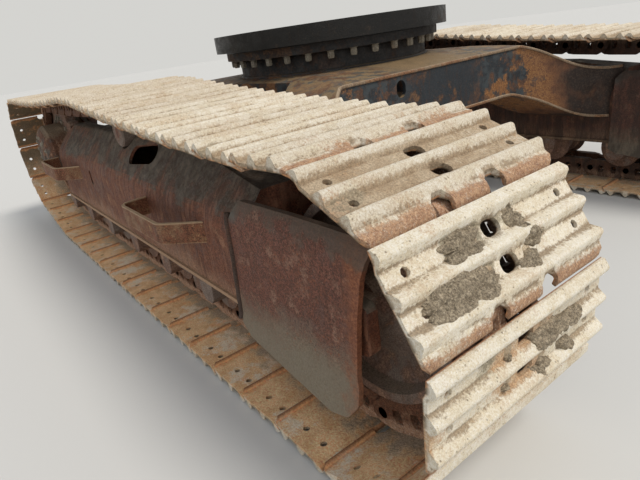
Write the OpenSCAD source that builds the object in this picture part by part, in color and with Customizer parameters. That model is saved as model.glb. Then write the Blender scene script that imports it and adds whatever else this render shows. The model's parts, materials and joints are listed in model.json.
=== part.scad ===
// Undercarriage of a crawler excavator: two tracks, their frames, the car body and the slewing ring.
// X runs forward to the idlers, Y to the left, Z up from the ground.

/* [Track] */
// Distance from one track pin to the next
pitch = 171.45; // [168:0.05:175]
// Shoes in each track
shoe_count = 43; // [42:1:44]
// Distance between the centre lines of the two tracks
gauge = 1990; // [1900:10:2200]
// Width of a shoe, across the track
shoe_w = 500; // [450:10:600]
// Height of the shoe's plate over the line of the pins
plate_h = 42; // [40:1:46]
// Thickness of the shoe's plate
plate_t = 9; // [7:1:12]
// Height of a grouser over the plate
grouser_h = 20; // [14:1:26]
// Width of a grouser at its tip
grouser_tip = 8; // [5:1:11]
// Width of a grouser at its foot
grouser_foot = 34; // [28:1:38]
// Depth of a link's rail under the line of the pins
rail_h = 42; // [38:1:46]
// Thickness of a link, across the track
link_t = 34; // [28:1:38]
// Distance of a link from the middle of the track
link_y = 52; // [48:1:58]
// Height of the pins where the track passes over the carrier roller
crest_z = 741; // [725:1:755]
// Sag of the top run from the carrier roller to the idler
sag_front = 17; // [5:1:30]
// Sag of the top run from the sprocket to the carrier roller
sag_rear = 16; // [5:1:30]
// Distance of the first pin on the idler ahead of the idler's centre
lead_pin = 30; // [0:1:80]

/* [Wheels] */
// Radius of the idler's tread
idler_r = 237; // [225:1:245]
// Height of the idler's lowest pins over those of the ground run
idler_lift = 12.7; // [12:0.1:20]
// Teeth of the sprocket, two to each link
sprocket_teeth = 21; // [21:2:23]
// Height of the sprocket's centre
sprocket_z = 433; // [415:1:445]
// Radius of the chain's bushings
bushing_r = 24; // [20:1:27]
// Width of the sprocket's rim
sprocket_w = 50; // [40:1:56]
// Radius of a track roller's tread
roller_r = 75; // [68:1:80]
// Track rollers on each side
roller_count = 7; // [5:1:7]
// Clearance of the last track rollers' flanges from the idler's flange and the sprocket's teeth
wheel_gap = 40; // [10:1:60]
// Radius of the carrier roller
carrier_r = 60; // [50:1:62]
// Distance of the carrier roller ahead of the middle
carrier_x = -45; // [-80:5:-45]

/* [Track frame] */
// Width of the track frame's box
frame_w = 290; // [270:5:310]
// Height of the box's floor over the ground
frame_z = 225; // [222:1:235]
// Height of the box's ridge
ridge_z = 612; // [600:1:620]
// Height where the sides bend into the roof
eaves_z = 470; // [460:5:480]
// Width of the box's flat ridge
ridge_w = 60; // [50:5:80]
// Gap between the box's front end and the idler's flange
front_gap = 92.56; // [72:0.01:132]
// Gap between the box's rear end and the sprocket's teeth
rear_gap = 33.84; // [24:0.01:84]
// Thickness of the box's walls
frame_t = 12; // [8:1:16]
// Length of the oblong hole in the roof
roof_hole_l = 254; // [160:2:300]
// Width of the oblong hole in the roof
roof_hole_w = 80; // [50:2:84]

/* [Guards and steps] */
// Thickness of the idler guards
guard_t = 12; // [8:1:16]
// Distance of a guard's foot from the side of the track frame
guard_out = 60; // [50:1:80]
// Width of a step, from the frame out to its bar
step_out = 98; // [60:2:104]
// Length of a step's outer bar
step_l = 350; // [250:10:400]
// Height of a step's bar
step_h = 65; // [45:5:70]
// Thickness of a step's bar
step_t = 10; // [8:1:14]
// Height of a step's top edge
step_z = 443; // [420:1:460]
// Distance of the front step's rear end ahead of the middle
step_x = 330; // [300:5:360]
// Distance from one step to the other
step_gap = 1410; // [1200:10:1450]

/* [Car body] */
// Distance of the slewing axis ahead of the middle of the tracks
slew_x = 60; // [0:5:80]
// Height of the car body's top plate
deck_z = 742; // [735:1:750]
// Height of the car body's underside
belly_z = 515; // [500:5:530]
// Distance from the slewing axis to the front and rear walls
body_half = 681; // [640:1:700]
// Height of the top plate at those walls
brow_z = 720; // [700:1:730]
// Distance from the middle at which a leg begins to fall away
leg_bend_y = 400; // [390:5:410]
// Radius of the curve by which it falls
leg_bend_r = 400; // [370:5:420]
// Radius of the curve by which it levels out again
leg_foot_r = 300; // [260:5:320]
// Width of a leg where it meets the track frame, along the track
leg_w = 300; // [260:10:320]
// Thickness of the car body's plates
body_t = 16; // [10:1:20]

/* [Slewing ring] */
// Outer radius of the turning race
race_r = 547; // [540:1:560]
// Height of the turning race
race_h = 71; // [60:1:80]
// Height of the underside of the turning race
race_z = 862; // [860:1:866]
// Outer radius of the fixed race
seam_r = 500; // [498:1:506]
// Outer radius of the flange under the fixed race
flange_r = 502; // [500:1:520]
// Thickness of that flange
flange_t = 33; // [25:1:40]
// Outer radius of the round pedestal
pedestal_r = 444; // [440:1:448]
// Thickness of the pedestal's wall
pedestal_t = 20; // [12:1:24]
// Teeth of the swing gear, inside the fixed race
swing_teeth = 88; // [84:1:90]
// Module of the swing gear
swing_module = 10; // [9.8:0.1:10.2]
// Bolts that carry the house
house_bolts = 32; // [24:2:36]
// Radius of the circle of house bolts
house_bolt_circle = 524; // [520:1:528]
// Radius of a house bolt's hole
house_bolt_r = 9; // [6.5:0.5:10.5]

/* [Hidden] */
$fn = 96;

// Running and seating clearances
seat_gap = 0.3;
move_gap = 5;

// Directions, closed outlines and rounded outlines
function unit(a) = [cos(a), sin(a)];
function left_of(v) = [-v[1], v[0]];
function toward(a, b) = (b - a) / norm(b - a);
function sum(v, i = 0) = i < len(v) ? v[i] + sum(v, i + 1) : 0;
function cycle(v, i) = v[(i + len(v)) % len(v)];
function edge_normal(loop, i) = left_of(toward(cycle(loop, i), cycle(loop, i + 1)));
// Corner i of a loop, moved d to the left of its travel with its edges kept parallel
function mitre(loop, i, d) =
    let (a = edge_normal(loop, i - 1), b = edge_normal(loop, i)) loop[i] + (a + b) * d / (1 + a * b);
function grow(loop, d) = [for (i = [0:len(loop) - 1]) mitre(loop, i, d)];
// A loop whose corner i is an arc of radius radii[i], with n steps
function rounded(loop, radii, n = 5) = [for (i = [0:len(loop) - 1])
    let (p = loop[i], a = toward(p, cycle(loop, i - 1)), b = toward(p, cycle(loop, i + 1)),
        half = acos(a * b) / 2, c = p + (a + b) / norm(a + b) * radii[i] / sin(half),
        turn = 180 - 2 * half, side = sign(a[0] * b[1] - a[1] * b[0]),
        from = atan2(-(a + b)[1], -(a + b)[0]))
    each radii[i] == 0 ? [p] : [for (k = [0:n]) c + radii[i] * unit(from - side * turn * (k / n - 0.5))]];
function reverse(v) = [for (i = [len(v) - 1:-1:0]) v[i]];
// A band of thickness t along an open path, on the left of its travel
function path_normal(path, i) = left_of(toward(path[i], path[i + 1]));
function beside(path, t) = let (last = len(path) - 1) [for (i = [0:last])
    i == 0 ? path[0] + path_normal(path, 0) * t
    : i == last ? path[last] + path_normal(path, last - 1) * t : mitre(path, i, t)];
function band(path, t) = concat(path, reverse(beside(path, t)));

// The loop of the pins, as a belt round five wheels, clockwise in the plane of X and Z.
// A wheel holds its centre, its distance from the straight runs, that from a pin on it,
// and the track per degree.
sprocket_pin_r = pitch / 2 / sin(360 / sprocket_teeth);
function seated(c, seat) = [c, seat, norm([seat, pitch / 2]), pitch / 2 / atan(pitch / 2 / seat)];
function rolled(c, r) = [c, r, r, r * PI / 180];
roller_seat = roller_r + seat_gap + rail_h;
carrier_seat = carrier_r + seat_gap + rail_h;
ground_pin_z = plate_h + plate_t + grouser_h;
roller_z = ground_pin_z + roller_seat;
idler_z = ground_pin_z + idler_lift + idler_r + seat_gap + rail_h;
idler_flange = 22;
roller_flange = 17;
tooth_tip_r = sprocket_pin_r + 12;
// How far a roller's centre lies along the track from that of a wheel of radius r at height z
function reach(r, z) = sqrt(pow(r + wheel_gap + roller_r + roller_flange, 2) - pow(z - roller_z, 2));
idler_reach = reach(idler_r + idler_flange, idler_z);
sprocket_reach = reach(tooth_tip_r, sprocket_z);
function wheels(base, shift) = [
    rolled([carrier_x, crest_z - carrier_seat], carrier_seat),
    seated([shift + base / 2, idler_z], idler_r + seat_gap + rail_h),
    rolled([shift + base / 2 - idler_reach, roller_z], roller_seat),
    rolled([shift - base / 2 + sprocket_reach, roller_z], roller_seat),
    seated([shift - base / 2, sprocket_z], sprocket_pin_r * cos(360 / sprocket_teeth))];
sags = [sag_front, 0, 0, 0, sag_rear];
// A span from wheel a to wheel b: its outward normal, its two ends, its sag and its length
function span(a, b, sag) =
    let (d = b[0] - a[0], n = atan2(d[1], d[0]) + acos((a[1] - b[1]) / norm(d)),
        start = a[0] + a[1] * unit(n), end = b[0] + b[1] * unit(n), l = norm(end - start))
    [n, start, end, sag, l + 8 * sag * sag / l / 3];
function spans(w) = [for (k = [0:4]) span(w[k], cycle(w, k + 1), sags[k])];
function wrap(s, k) = (cycle(s, k - 1)[0] - s[k][0] + 720) % 360;
function belt(base) =
    let (w = wheels(base, 0), s = spans(w)) sum([for (k = [0:4]) wrap(s, k) * w[k][3] + s[k][4]]);
// Distance from sprocket to idler at which the belt is a whole number of links
function fitted(base, n) = n == 0 ? base : fitted(base + (shoe_count * pitch - belt(base)) / 2, n - 1);
wheelbase = fitted(shoe_count * pitch / 2 - 900, 6);
function on_span(s, f) = s[1] + (s[2] - s[1]) * f - unit(s[0]) * 4 * s[3] * f * (1 - f);
// The pin at distance l along the belt from the point where it meets wheel k
function pin_at(w, s, l, k) =
    let (arc = wrap(s, k) * w[k][3], rest = l - arc)
    rest < 0 ? w[k][0] + w[k][2] * unit(cycle(s, k - 1)[0] - l / w[k][3])
    : rest < s[k][4] ? on_span(s[k], rest / s[k][4])
    : pin_at(w, s, rest - s[k][4], (k + 1) % 5);
function pin_loop(shift) =
    let (w = wheels(wheelbase, shift), s = spans(w),
        first = (s[0][0] - 90 + asin(lead_pin / w[1][2])) * w[1][3])
    [for (i = [0:shoe_count - 1]) pin_at(w, s, (first + i * pitch) % (shoe_count * pitch), 1)];

// A shoe's outline over link i, u along the link and v outward, with its lip where the track turns
grouser_u = [26, 92, 158.5];
lead_u = 8;
lead_h = plate_h + plate_t + 6;
lip = [202, plate_h + 4];
lip_turn = 20;
function ridge(u) = let (f = grouser_foot / 2, t = grouser_tip / 2, b = plate_h + plate_t, h = b + grouser_h)
    [[u - f, b], [u - t, h], [u + t, h], [u + f, b]];
function turn_at(loop, i) = acos(min(1, edge_normal(loop, i - 1) * edge_normal(loop, i)));
function shoe_points(turned) =
    let (r = [for (u = grouser_u) ridge(u)])
    [[lead_u, lead_h], r[0][1], r[0][2], r[0][3], each r[1], each r[2], each turned ? [lip] : []];
function shoe_outline(loop) = [for (i = [0:shoe_count - 1])
    let (n = edge_normal(loop, i), t = -left_of(n))
    for (q = shoe_points(turn_at(loop, (i + 1) % shoe_count) > lip_turn)) loop[i] + t * q[0] + n * q[1]];
// The wheels move along together until the shoes reach as far forward as rearward
loose_x = [for (q = shoe_outline(pin_loop(0))) q[0]];
centring = -(max(loose_x) + min(loose_x)) / 2;
pins = pin_loop(centring);
idler_x = wheelbase / 2 + centring;
sprocket_x = centring - wheelbase / 2;
// The pin on the sprocket that is nearest its rear sets the teeth's phase
rearmost = min([for (q = pins) q[0]]);
phase_pin = [for (q = pins) if (q[0] == rearmost) q][0] - [sprocket_x, sprocket_z];
sprocket_phase = atan2(phase_pin[1], phase_pin[0]);
// Height at x of the rail of the top run, and of the ground run
function crosses(i, x) = (pins[i][0] - x) * (cycle(pins, i + 1)[0] - x) <= 0;
function rail_line(i, x) =
    let (a = mitre(pins, i, -rail_h), b = mitre(pins, (i + 1) % shoe_count, -rail_h))
    [a[1] + (b[1] - a[1]) * (x - a[0]) / (b[0] - a[0]), norm(b - a) / abs(b[0] - a[0])];
function rails_at(x) = [for (i = [0:shoe_count - 1]) if (crosses(i, x)) rail_line(i, x)];
function top_rail(x) = let (r = rails_at(x)) r[0][0] > r[1][0] ? r[0] : r[1];
function ground_rail(x) = let (r = rails_at(x)) r[0][0] > r[1][0] ? r[1] : r[0];
// Height of the centre of a wheel of radius r that hangs from, or stands on, a straight rail
function under_rail(x, r) = let (q = top_rail(x)) q[0] - (r + seat_gap) * q[1];
function over_rail(x, r) = let (q = ground_rail(x)) q[0] + (r + seat_gap) * q[1];

// An outline in the plane of X and Z, drawn w deep about the plane y
module along_y(w, y = 0) translate([0, y + w / 2, 0]) rotate([90, 0, 0]) linear_extrude(w) children();
// An outline in the plane of Y and Z, drawn from x0 to x1
module along_x(x0, x1) translate([x0, 0, 0]) rotate([90, 0, 90]) linear_extrude(x1 - x0) children();
// Turned about an axle that lies along Y at x and z; its first coordinate is the radius and its second is Y
module axle(x, z) translate([x, 0, z]) rotate([-90, 0, 0]) rotate_extrude() children();
module left() translate([0, gauge / 2, 0]) children();
module right() mirror([0, 1, 0]) left() children();

module track() color("tan") {
    along_y(shoe_w) difference() {
        polygon(shoe_outline(pins));
        polygon([for (i = [0:shoe_count - 1]) mitre(pins, i, plate_h)]);
    }
    for (s = [-1, 1])
        along_y(link_t, s * link_y) difference() {
            polygon([for (i = [0:shoe_count - 1]) mitre(pins, i, plate_h + plate_t / 2)]);
            polygon([for (i = [0:shoe_count - 1]) mitre(pins, i, -rail_h)]);
        }
}

// Track frame: a box with a gable roof over the rollers, arms that hold the idler,
// and a plate that holds the drive
frame_front = idler_x - idler_r - idler_flange - front_gap;
frame_rear = -sprocket_x - tooth_tip_r - rear_gap;
roof_x = [90 - frame_rear, 250, frame_front - 280];
roof_front_z = ridge_z - 20;
roof_end_z = ridge_z - 55;
eaves_r = 120;
ridge_r = 25;
skirt_t = 16;
lip_out = 8;
lip_h = 12;
channel_z = 295;
function section(z) = let (w = frame_w / 2, r = ridge_w / 2)
    [[-w, z], [-w, eaves_z], [-r, ridge_z], [r, ridge_z], [w, eaves_z], [w, z]];
function profile(z) = [[-frame_rear, z], [-frame_rear, roof_end_z], [roof_x[0], ridge_z + 1],
    [roof_x[1], ridge_z + 1], [roof_x[2], roof_front_z], [frame_front, roof_end_z], [frame_front, z]];
section_radii = [0, eaves_r, ridge_r, ridge_r, eaves_r, 0];
slope = atan2(ridge_z - eaves_z, (frame_w - ridge_w) / 2);
hole_x = 184;
hole_up = 0.65;
hole_turn = 7;
hole_cut = 40;
slot_x = -430;
slot_z = 410;
slot_h = 70;
slot_r = 14;
arm_t = 26;
arm_z = [idler_z - 63, idler_z + 49];
arm_front = idler_x + 95;
mount_y = -96;
mount_t = 28;
hub_r = 190;
motor_bore = 112;
// The hole lies askew on the roof, with its front end higher
module roof_hole() let (l = roof_hole_l - roof_hole_w)
    translate([hole_x, (frame_w - hole_up * (frame_w - ridge_w)) / 2,
        eaves_z + hole_up * (ridge_z - eaves_z)])
        rotate([-slope, 0, 0]) rotate([0, 0, -hole_turn]) {
            for (s = [-1, 1])
                translate([s * l / 2, 0, -hole_cut]) cylinder(r = roof_hole_w / 2, h = 2 * hole_cut);
            cube([l, roof_hole_w, 2 * hole_cut], center = true);
        }
module side_slot() translate([slot_x, frame_w / 2, slot_z]) rotate([90, 0, 0]) {
    for (s = [-1, 1]) translate([0, s * (slot_h / 2 - slot_r), -30]) cylinder(r = slot_r, h = 60);
    cube([2 * slot_r, slot_h - 2 * slot_r, 60], center = true);
}
// The roof has a pocket for the carrier roller
pocket_gap = 8;
module carrier_pocket(d) let (r = carrier_r + pocket_gap + d)
    along_y(2 * (carrier_end + pocket_gap + d)) translate([carrier_x, carrier_z]) {
        circle(r = r);
        translate([-r, 0]) square([2 * r, 100]);
    }
module frame_outside() along_x(-frame_rear, frame_front) polygon(rounded(section(frame_z), section_radii));
module frame_shell() difference() {
    intersection() {
        frame_outside();
        along_y(frame_w + 2) polygon(profile(frame_z));
    }
    difference() {
        intersection() {
            along_x(-frame_rear - 1, frame_front + 1)
                polygon(rounded(grow(section(channel_z), -frame_t), section_radii));
            along_y(frame_w + 2) polygon(grow(profile(channel_z), -frame_t));
        }
        carrier_pocket(frame_t);
    }
    carrier_pocket(0);
    along_x(-frame_rear - 1, frame_front + 1) translate([skirt_t - frame_w / 2, frame_z - 1])
        square([frame_w - 2 * skirt_t, channel_z - frame_z + 1]);
    roof_hole();
    side_slot();
}
module track_frame() color("saddlebrown") {
    frame_shell();
    for (s = [-1, 1]) {
        along_x(-frame_rear, frame_front)
            translate([s * (frame_w + lip_out - skirt_t) / 2, frame_z + lip_h / 2])
                square([lip_out + skirt_t, lip_h], center = true);
        along_y(arm_t, s * (frame_w - arm_t) / 2)
            polygon(rounded([[frame_front - 1, frame_z], [frame_front - 1, arm_z[1] + 60],
                [arm_front, arm_z[1]], [arm_front, arm_z[0]]], [0, 0, 20, 20]));
    }
    difference() {
        along_y(mount_t, mount_y) union() {
            translate([sprocket_x, sprocket_z]) circle(r = hub_r);
            polygon([[sprocket_x + 40, sprocket_z + hub_r - 4], [1 - frame_rear, roof_end_z - 10],
                [1 - frame_rear, channel_z + 5], [sprocket_x + 60, sprocket_z - hub_r + 10]]);
        }
        along_y(mount_t + 2, mount_y) translate([sprocket_x, sprocket_z]) circle(r = motor_bore);
    }
}

// Guards over the idler: a plate that flares out at its foot and bends softly in at its head.
// Both outlines are drawn in shares of the plate's length, height and inward lean.
guard_lap = 40;
guard_rear = frame_front - guard_lap;
guard_foot_y = frame_w / 2 + guard_out;
guard_front = idler_x + 134.5;
guard_foot_z = 155;
guard_head_z = 555;
guard_lean = 69;
function guard_z(share) = guard_foot_z + share * (guard_head_z - guard_foot_z);
guard_outline = [for (q = [[0.02, 0.15], [0, 0.84], [0.09, 0.99], [0.5, 1], [1, 1], [0.95, 0.82],
    [0.915, 0.6], [0.895, 0.27], [0.91, 0.12], [0.86, 0.03], [0.76, 0], [0.42, 0.045], [0.115, 0.09]])
    [guard_rear + q[0] * (guard_front - guard_rear), guard_z(q[1])]];
guard_radii = [14, 20, 14, 0, 8, 30, 0, 20, 12, 20, 20, 0, 20];
guard_ramp = [for (q = [[0, -0.02], [0.4, 0.21], [0.55, 0.61], [0.59, 0.84], [0.65, 0.91], [0.79, 0.965],
    [1, 1.02]])
    [guard_foot_y - q[0] * guard_lean, guard_z(q[1])]];
// Its rear edge x0 is closed by a flange that stands on the side of the track frame
flange_set = 8;
// The inner guards begin further forward, clear of the legs
inner_set = 24;
module guard(x0) color("sienna") {
    intersection() {
        along_y(2 * guard_foot_y + 20) polygon(rounded(guard_outline, guard_radii, 3));
        along_x(x0, guard_front + 1) polygon(band(guard_ramp, guard_t));
    }
    along_x(x0 + flange_set, x0 + flange_set + guard_t) polygon([[frame_w / 2, guard_ramp[1][1]],
        guard_ramp[1] - [guard_t / 2, 0], guard_ramp[2] - [guard_t / 2, 0], guard_ramp[3] - [guard_t / 2, 0],
        [frame_w / 2, eaves_z - 45]]);
}

// Steps: a flat bar bent to a bracket and welded to the side of the frame
step_slope = 140;
module step(x) color("peru") translate([x, 0, step_z - step_h]) linear_extrude(step_h) intersection() {
    difference() {
        polygon(rounded(step_loop(0), [0, 40, 60, 0], 6));
        polygon(rounded(step_loop(-step_t), [0, 30, 50, 0], 6));
    }
    translate([-200, frame_w / 2]) square([1200, step_out]);
}
function step_loop(d) =
    let (back = frame_w / 2 - 2 * step_t, out = frame_w / 2 + step_out)
    grow([[-10, back], [0, out], [step_l, out], [step_l + step_slope, back]], d);

// Wheels
rim_y = link_y - link_t / 2 - 5;
tread_y = link_y + link_t / 2 + 6;
axle_r = 36;
yoke_y = 89;
hub_y = yoke_y - seat_gap;
module idler() color("dimgray") axle(idler_x, idler_z) polygon([
    [axle_r + seat_gap, -hub_y], [70, -hub_y], [74, -60], [150, -24], [idler_r - 30, -40],
    [idler_r - 22, -tread_y], [idler_r, -tread_y], [idler_r, -rim_y], [idler_r + idler_flange, 4 - rim_y],
    [idler_r + idler_flange, rim_y - 4], [idler_r, rim_y],
    [idler_r, tread_y], [idler_r - 22, tread_y], [idler_r - 30, 40], [150, 24], [74, 60], [70, hub_y],
    [axle_r + seat_gap, hub_y]]);
yoke_rear = idler_x - idler_r - idler_flange - 24;
yoke_t = frame_w / 2 - arm_t - yoke_y;
block_l = 140;
stem_r = 34;
module idler_yoke() color("dimgray") {
    axle(idler_x, idler_z) polygon([[0, 1 - frame_w / 2 + arm_t], [axle_r, 1 - frame_w / 2 + arm_t],
        [axle_r, frame_w / 2 - arm_t - 1], [0, frame_w / 2 - arm_t - 1]]);
    for (s = [-1, 1])
        along_y(yoke_t, s * (yoke_y + yoke_t / 2)) {
            translate([idler_x, (arm_z[0] + arm_z[1]) / 2])
                square([block_l, arm_z[1] - arm_z[0] - 8], center = true);
            translate([yoke_rear - 30, idler_z - 30]) square([idler_x - yoke_rear - 30, 60]);
        }
    along_y(2 * yoke_y + 2) translate([yoke_rear - 15, idler_z]) square([30, 60], center = true);
    translate([frame_front, 0, idler_z]) rotate([0, 90, 0])
        cylinder(r = stem_r, h = yoke_rear - 20 - frame_front);
}
collar_y = 96;
collar_t = frame_w / 2 - collar_y;
roller_ends = [sprocket_x + sprocket_reach, idler_x - idler_reach];
function roller_x(i) = roller_ends[0] + (roller_ends[1] - roller_ends[0]) * i / (roller_count - 1);
module track_roller(x) let (z = over_rail(x, roller_r)) {
    axle(x, z) polygon([[0, -collar_y], [50, -collar_y], [54, -tread_y - 12],
        [roller_r + roller_flange, -tread_y - 10], [roller_r + roller_flange, -tread_y], [roller_r, -tread_y],
        [roller_r, -rim_y - 4], [60, 6 - rim_y], [60, rim_y - 6], [roller_r, rim_y + 4], [roller_r, tread_y],
        [roller_r + roller_flange, tread_y], [roller_r + roller_flange, tread_y + 10],
        [54, tread_y + 12], [50, collar_y], [0, collar_y]]);
    for (s = [-1, 1])
        along_y(collar_t, s * (collar_y + collar_t / 2)) translate([x, 0])
            polygon([[-46, frame_z], [46, frame_z], [40, z - 24], [22, z - 44], [-22, z - 44],
                [-40, z - 24]]);
}
module track_rollers() color("gray") for (i = [0:roller_count - 1]) track_roller(roller_x(i));

carrier_z = under_rail(carrier_x, carrier_r);
carrier_end = link_y + link_t / 2 + 8;
module carrier_roller() color("gray") axle(carrier_x, carrier_z) polygon([
    [stub_r + seat_gap, -carrier_end], [carrier_r - 6, -carrier_end], [carrier_r, 6 - carrier_end],
    [carrier_r, -rim_y], [carrier_r - 8, 8 - rim_y], [carrier_r - 8, rim_y - 8], [carrier_r, rim_y],
    [carrier_r, carrier_end - 6], [carrier_r - 6, carrier_end], [stub_r + seat_gap, carrier_end]]);
stand_y = -118;
stand_t = 24;
stand_l = 90;
stub_r = 22;
module carrier_stand() color("saddlebrown") {
    axle(carrier_x, carrier_z) polygon([[0, stand_y - 20], [stub_r, stand_y - 20],
        [stub_r, carrier_end], [0, carrier_end]]);
    difference() {
        translate([carrier_x - stand_l / 2, stand_y - stand_t / 2, eaves_z])
            cube([stand_l, stand_t, carrier_z + stub_r + 14 - eaves_z]);
        frame_outside();
    }
}
// Two pairs of guides hang from the skirts, each midway between two rollers
guide_x = [roller_x(1.5), roller_x(roller_count - 2.5)];
guide_l = 110;
guide_t = 14;
guide_y = link_y + link_t / 2 + 15;
guide_low = ground_pin_z + 33;
guide_outline = [[frame_w / 2, frame_z], [frame_w / 2, frame_z - 14], [guide_y + 2 * guide_t, frame_z - 22],
    [guide_y + guide_t, frame_z - 40], [guide_y + guide_t, guide_low], [guide_y, guide_low],
    [guide_y, frame_z - 30], [guide_y + guide_t + 2, frame_z]];
module chain_guides() color("gray") for (x = guide_x, s = [0, 1])
    mirror([0, s, 0]) along_x(x - guide_l / 2, x + guide_l / 2) polygon(guide_outline);

// Sprocket, final drive and travel motor
tooth_gap_r = bushing_r + 1;
tooth_flare = 9;
drive_r = 165;
drive_rim = 128;
drive_face = 166;
cap_r = 44;
cap_t = 6;
module sprocket() color("dimgray") along_y(sprocket_w) translate([sprocket_x, sprocket_z]) difference() {
    circle(r = tooth_tip_r);
    circle(r = drive_r + seat_gap);
    for (k = [0:sprocket_teeth - 1])
        rotate(sprocket_phase + 360 * k / sprocket_teeth) {
            translate([sprocket_pin_r, 0]) circle(r = tooth_gap_r, $fn = 32);
            polygon([[sprocket_pin_r, -tooth_gap_r], [tooth_tip_r + 2, -tooth_gap_r - tooth_flare],
                [tooth_tip_r + 2, tooth_gap_r + tooth_flare], [sprocket_pin_r, tooth_gap_r]]);
        }
}
mount_face = mount_y + mount_t / 2;
module final_drive() color("saddlebrown") axle(sprocket_x, sprocket_z) polygon([
    [0, mount_face], [hub_r - 4, mount_face], [hub_r - 4, mount_face + 24], [hub_r - 10, -sprocket_w / 2],
    [drive_r, -sprocket_w / 2], [drive_r, drive_rim], [drive_r - 14, drive_face - 16],
    [drive_r - 40, drive_face], [cap_r, drive_face], [cap_r - 4, drive_face + cap_t],
    [0, drive_face + cap_t]]);
motor_r = 100;
motor_end = -205;
ports = [100, 70, 100];
module travel_motor() color("dimgray") {
    axle(sprocket_x, sprocket_z) polygon([[0, motor_end], [motor_r - 14, motor_end],
        [motor_r, motor_end + 14], [motor_r, mount_face], [0, mount_face]]);
    translate([sprocket_x + 40, motor_end + 10, sprocket_z - ports[2] / 2]) cube(ports);
}
cover_r = 170;
cover_t = 8;
cover_l = 110;
// A band of sheet steel bent round the motor, open at its face, that stands on the drive's plate
module motor_cover() color("saddlebrown") along_y(cover_l, mount_y - mount_t / 2 - cover_l / 2)
    translate([sprocket_x, sprocket_z]) difference() {
        union() {
            circle(r = cover_r);
            translate([0, -cover_r]) square([cover_r + 10, 2 * cover_r]);
        }
        circle(r = cover_r - cover_t);
        translate([0, cover_t - cover_r]) square([cover_r + 20, 2 * (cover_r - cover_t)]);
    }

// Car body: a plan outline, a front view and a side view cut from one another, about the slewing axis.
// Its four legs reach over the track frames, whose roofs cut their ends.
leg_end_y = gauge / 2 - frame_w / 2 + 40;
leg_end_x = 975;
leg_back = [340, 500];
kink_y = 531;
function quarter(sx, sy) = [for (q = [[body_half, kink_y], [leg_end_x, leg_end_y],
    [leg_end_x - leg_w, leg_end_y], leg_back]) [sx * q[0], sy * q[1]]];
// Corners clockwise from the front right leg
plan = concat(quarter(1, -1), reverse(quarter(-1, -1)), quarter(-1, 1), reverse(quarter(1, 1)));
leg_slope = 34;
leg_level_y = leg_end_y - 32;
arc_n = 6;
// One edge of a leg, seen from the front: an arc down, a straight fall, and an arc back to level
function bend(side, z) =
    let (fall_y = leg_level_y - leg_foot_r * sin(leg_slope), arc_y = leg_bend_y + leg_bend_r * sin(leg_slope),
        arc_z = z - leg_bend_r * (1 - cos(leg_slope)), fall_z = arc_z - (fall_y - arc_y) * tan(leg_slope),
        level_z = fall_z - leg_foot_r * (1 - cos(leg_slope)))
    [for (k = [0:arc_n]) let (a = leg_slope * k / arc_n)
        [side * (leg_bend_y + leg_bend_r * sin(a)), z - leg_bend_r * (1 - cos(a))],
    for (k = [arc_n:-1:0]) let (a = leg_slope * k / arc_n)
        [side * (leg_level_y - leg_foot_r * sin(a)), level_z + leg_foot_r * (1 - cos(a))],
    [side * leg_end_y, level_z]];
front_view = concat(reverse(bend(-1, deck_z)), bend(1, deck_z), reverse(bend(1, belly_z)), bend(-1, belly_z));
brow_x = 470;
end_z = brow_z - (leg_end_x - body_half) * 0.2;
low_z = 200;
side_view = [[-leg_end_x, low_z], [-leg_end_x, end_z], [-body_half, brow_z], [-brow_x, deck_z],
    [brow_x, deck_z], [body_half, brow_z], [leg_end_x, end_z], [leg_end_x, low_z]];
well_r = 330;
web_slot_y = -240;
web_slot_r = 24;
web_slot_z = [653, 669];
module body_solid(d) intersection() {
    linear_extrude(deck_z + 10) polygon(grow(plan, d));
    along_x(-leg_end_x, leg_end_x) polygon(grow(front_view, d));
    along_y(2 * leg_end_y) polygon(grow(side_view, d));
}
module web_slot() translate([body_half, web_slot_y, 0]) {
    for (z = web_slot_z)
        translate([0, 0, z]) rotate([0, 90, 0]) cylinder(r = web_slot_r, h = 4 * body_t, center = true);
    translate([-2 * body_t, -web_slot_r, web_slot_z[0]])
        cube([4 * body_t, 2 * web_slot_r, web_slot_z[1] - web_slot_z[0]]);
}
module body_shell() difference() {
    body_solid(0);
    body_solid(-body_t);
    translate([0, 0, deck_z - 60]) cylinder(r = well_r, h = 100);
    web_slot();
    for (s = [-1, 1]) translate([-slew_x, s * gauge / 2, 0]) frame_outside();
}
module center_frame() color("slategray") translate([slew_x, 0, 0]) intersection() {
    body_shell();
    translate([-leg_end_x, -kink_y, 0]) cube([2 * leg_end_x, 2 * kink_y, deck_z + 10]);
}
module leg(sx, sy) color("slategray") translate([slew_x, 0, 0]) intersection() {
    body_shell();
    translate([sx > 0 ? 0 : -leg_end_x, sy > 0 ? kink_y : -leg_end_y, 0])
        cube([leg_end_x, leg_end_y - kink_y, deck_z]);
}
belly_plate_t = 12;
belly_plate_half = [260, 200];
module belly_plate() color("saddlebrown") translate([slew_x, 0, belly_z - belly_plate_t])
    linear_extrude(belly_plate_t) polygon(rounded([for (q = [[-1, -1], [-1, 1], [1, 1], [1, -1]])
        [q[0] * belly_plate_half[0], q[1] * belly_plate_half[1]]], [40, 40, 40, 40]));

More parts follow.
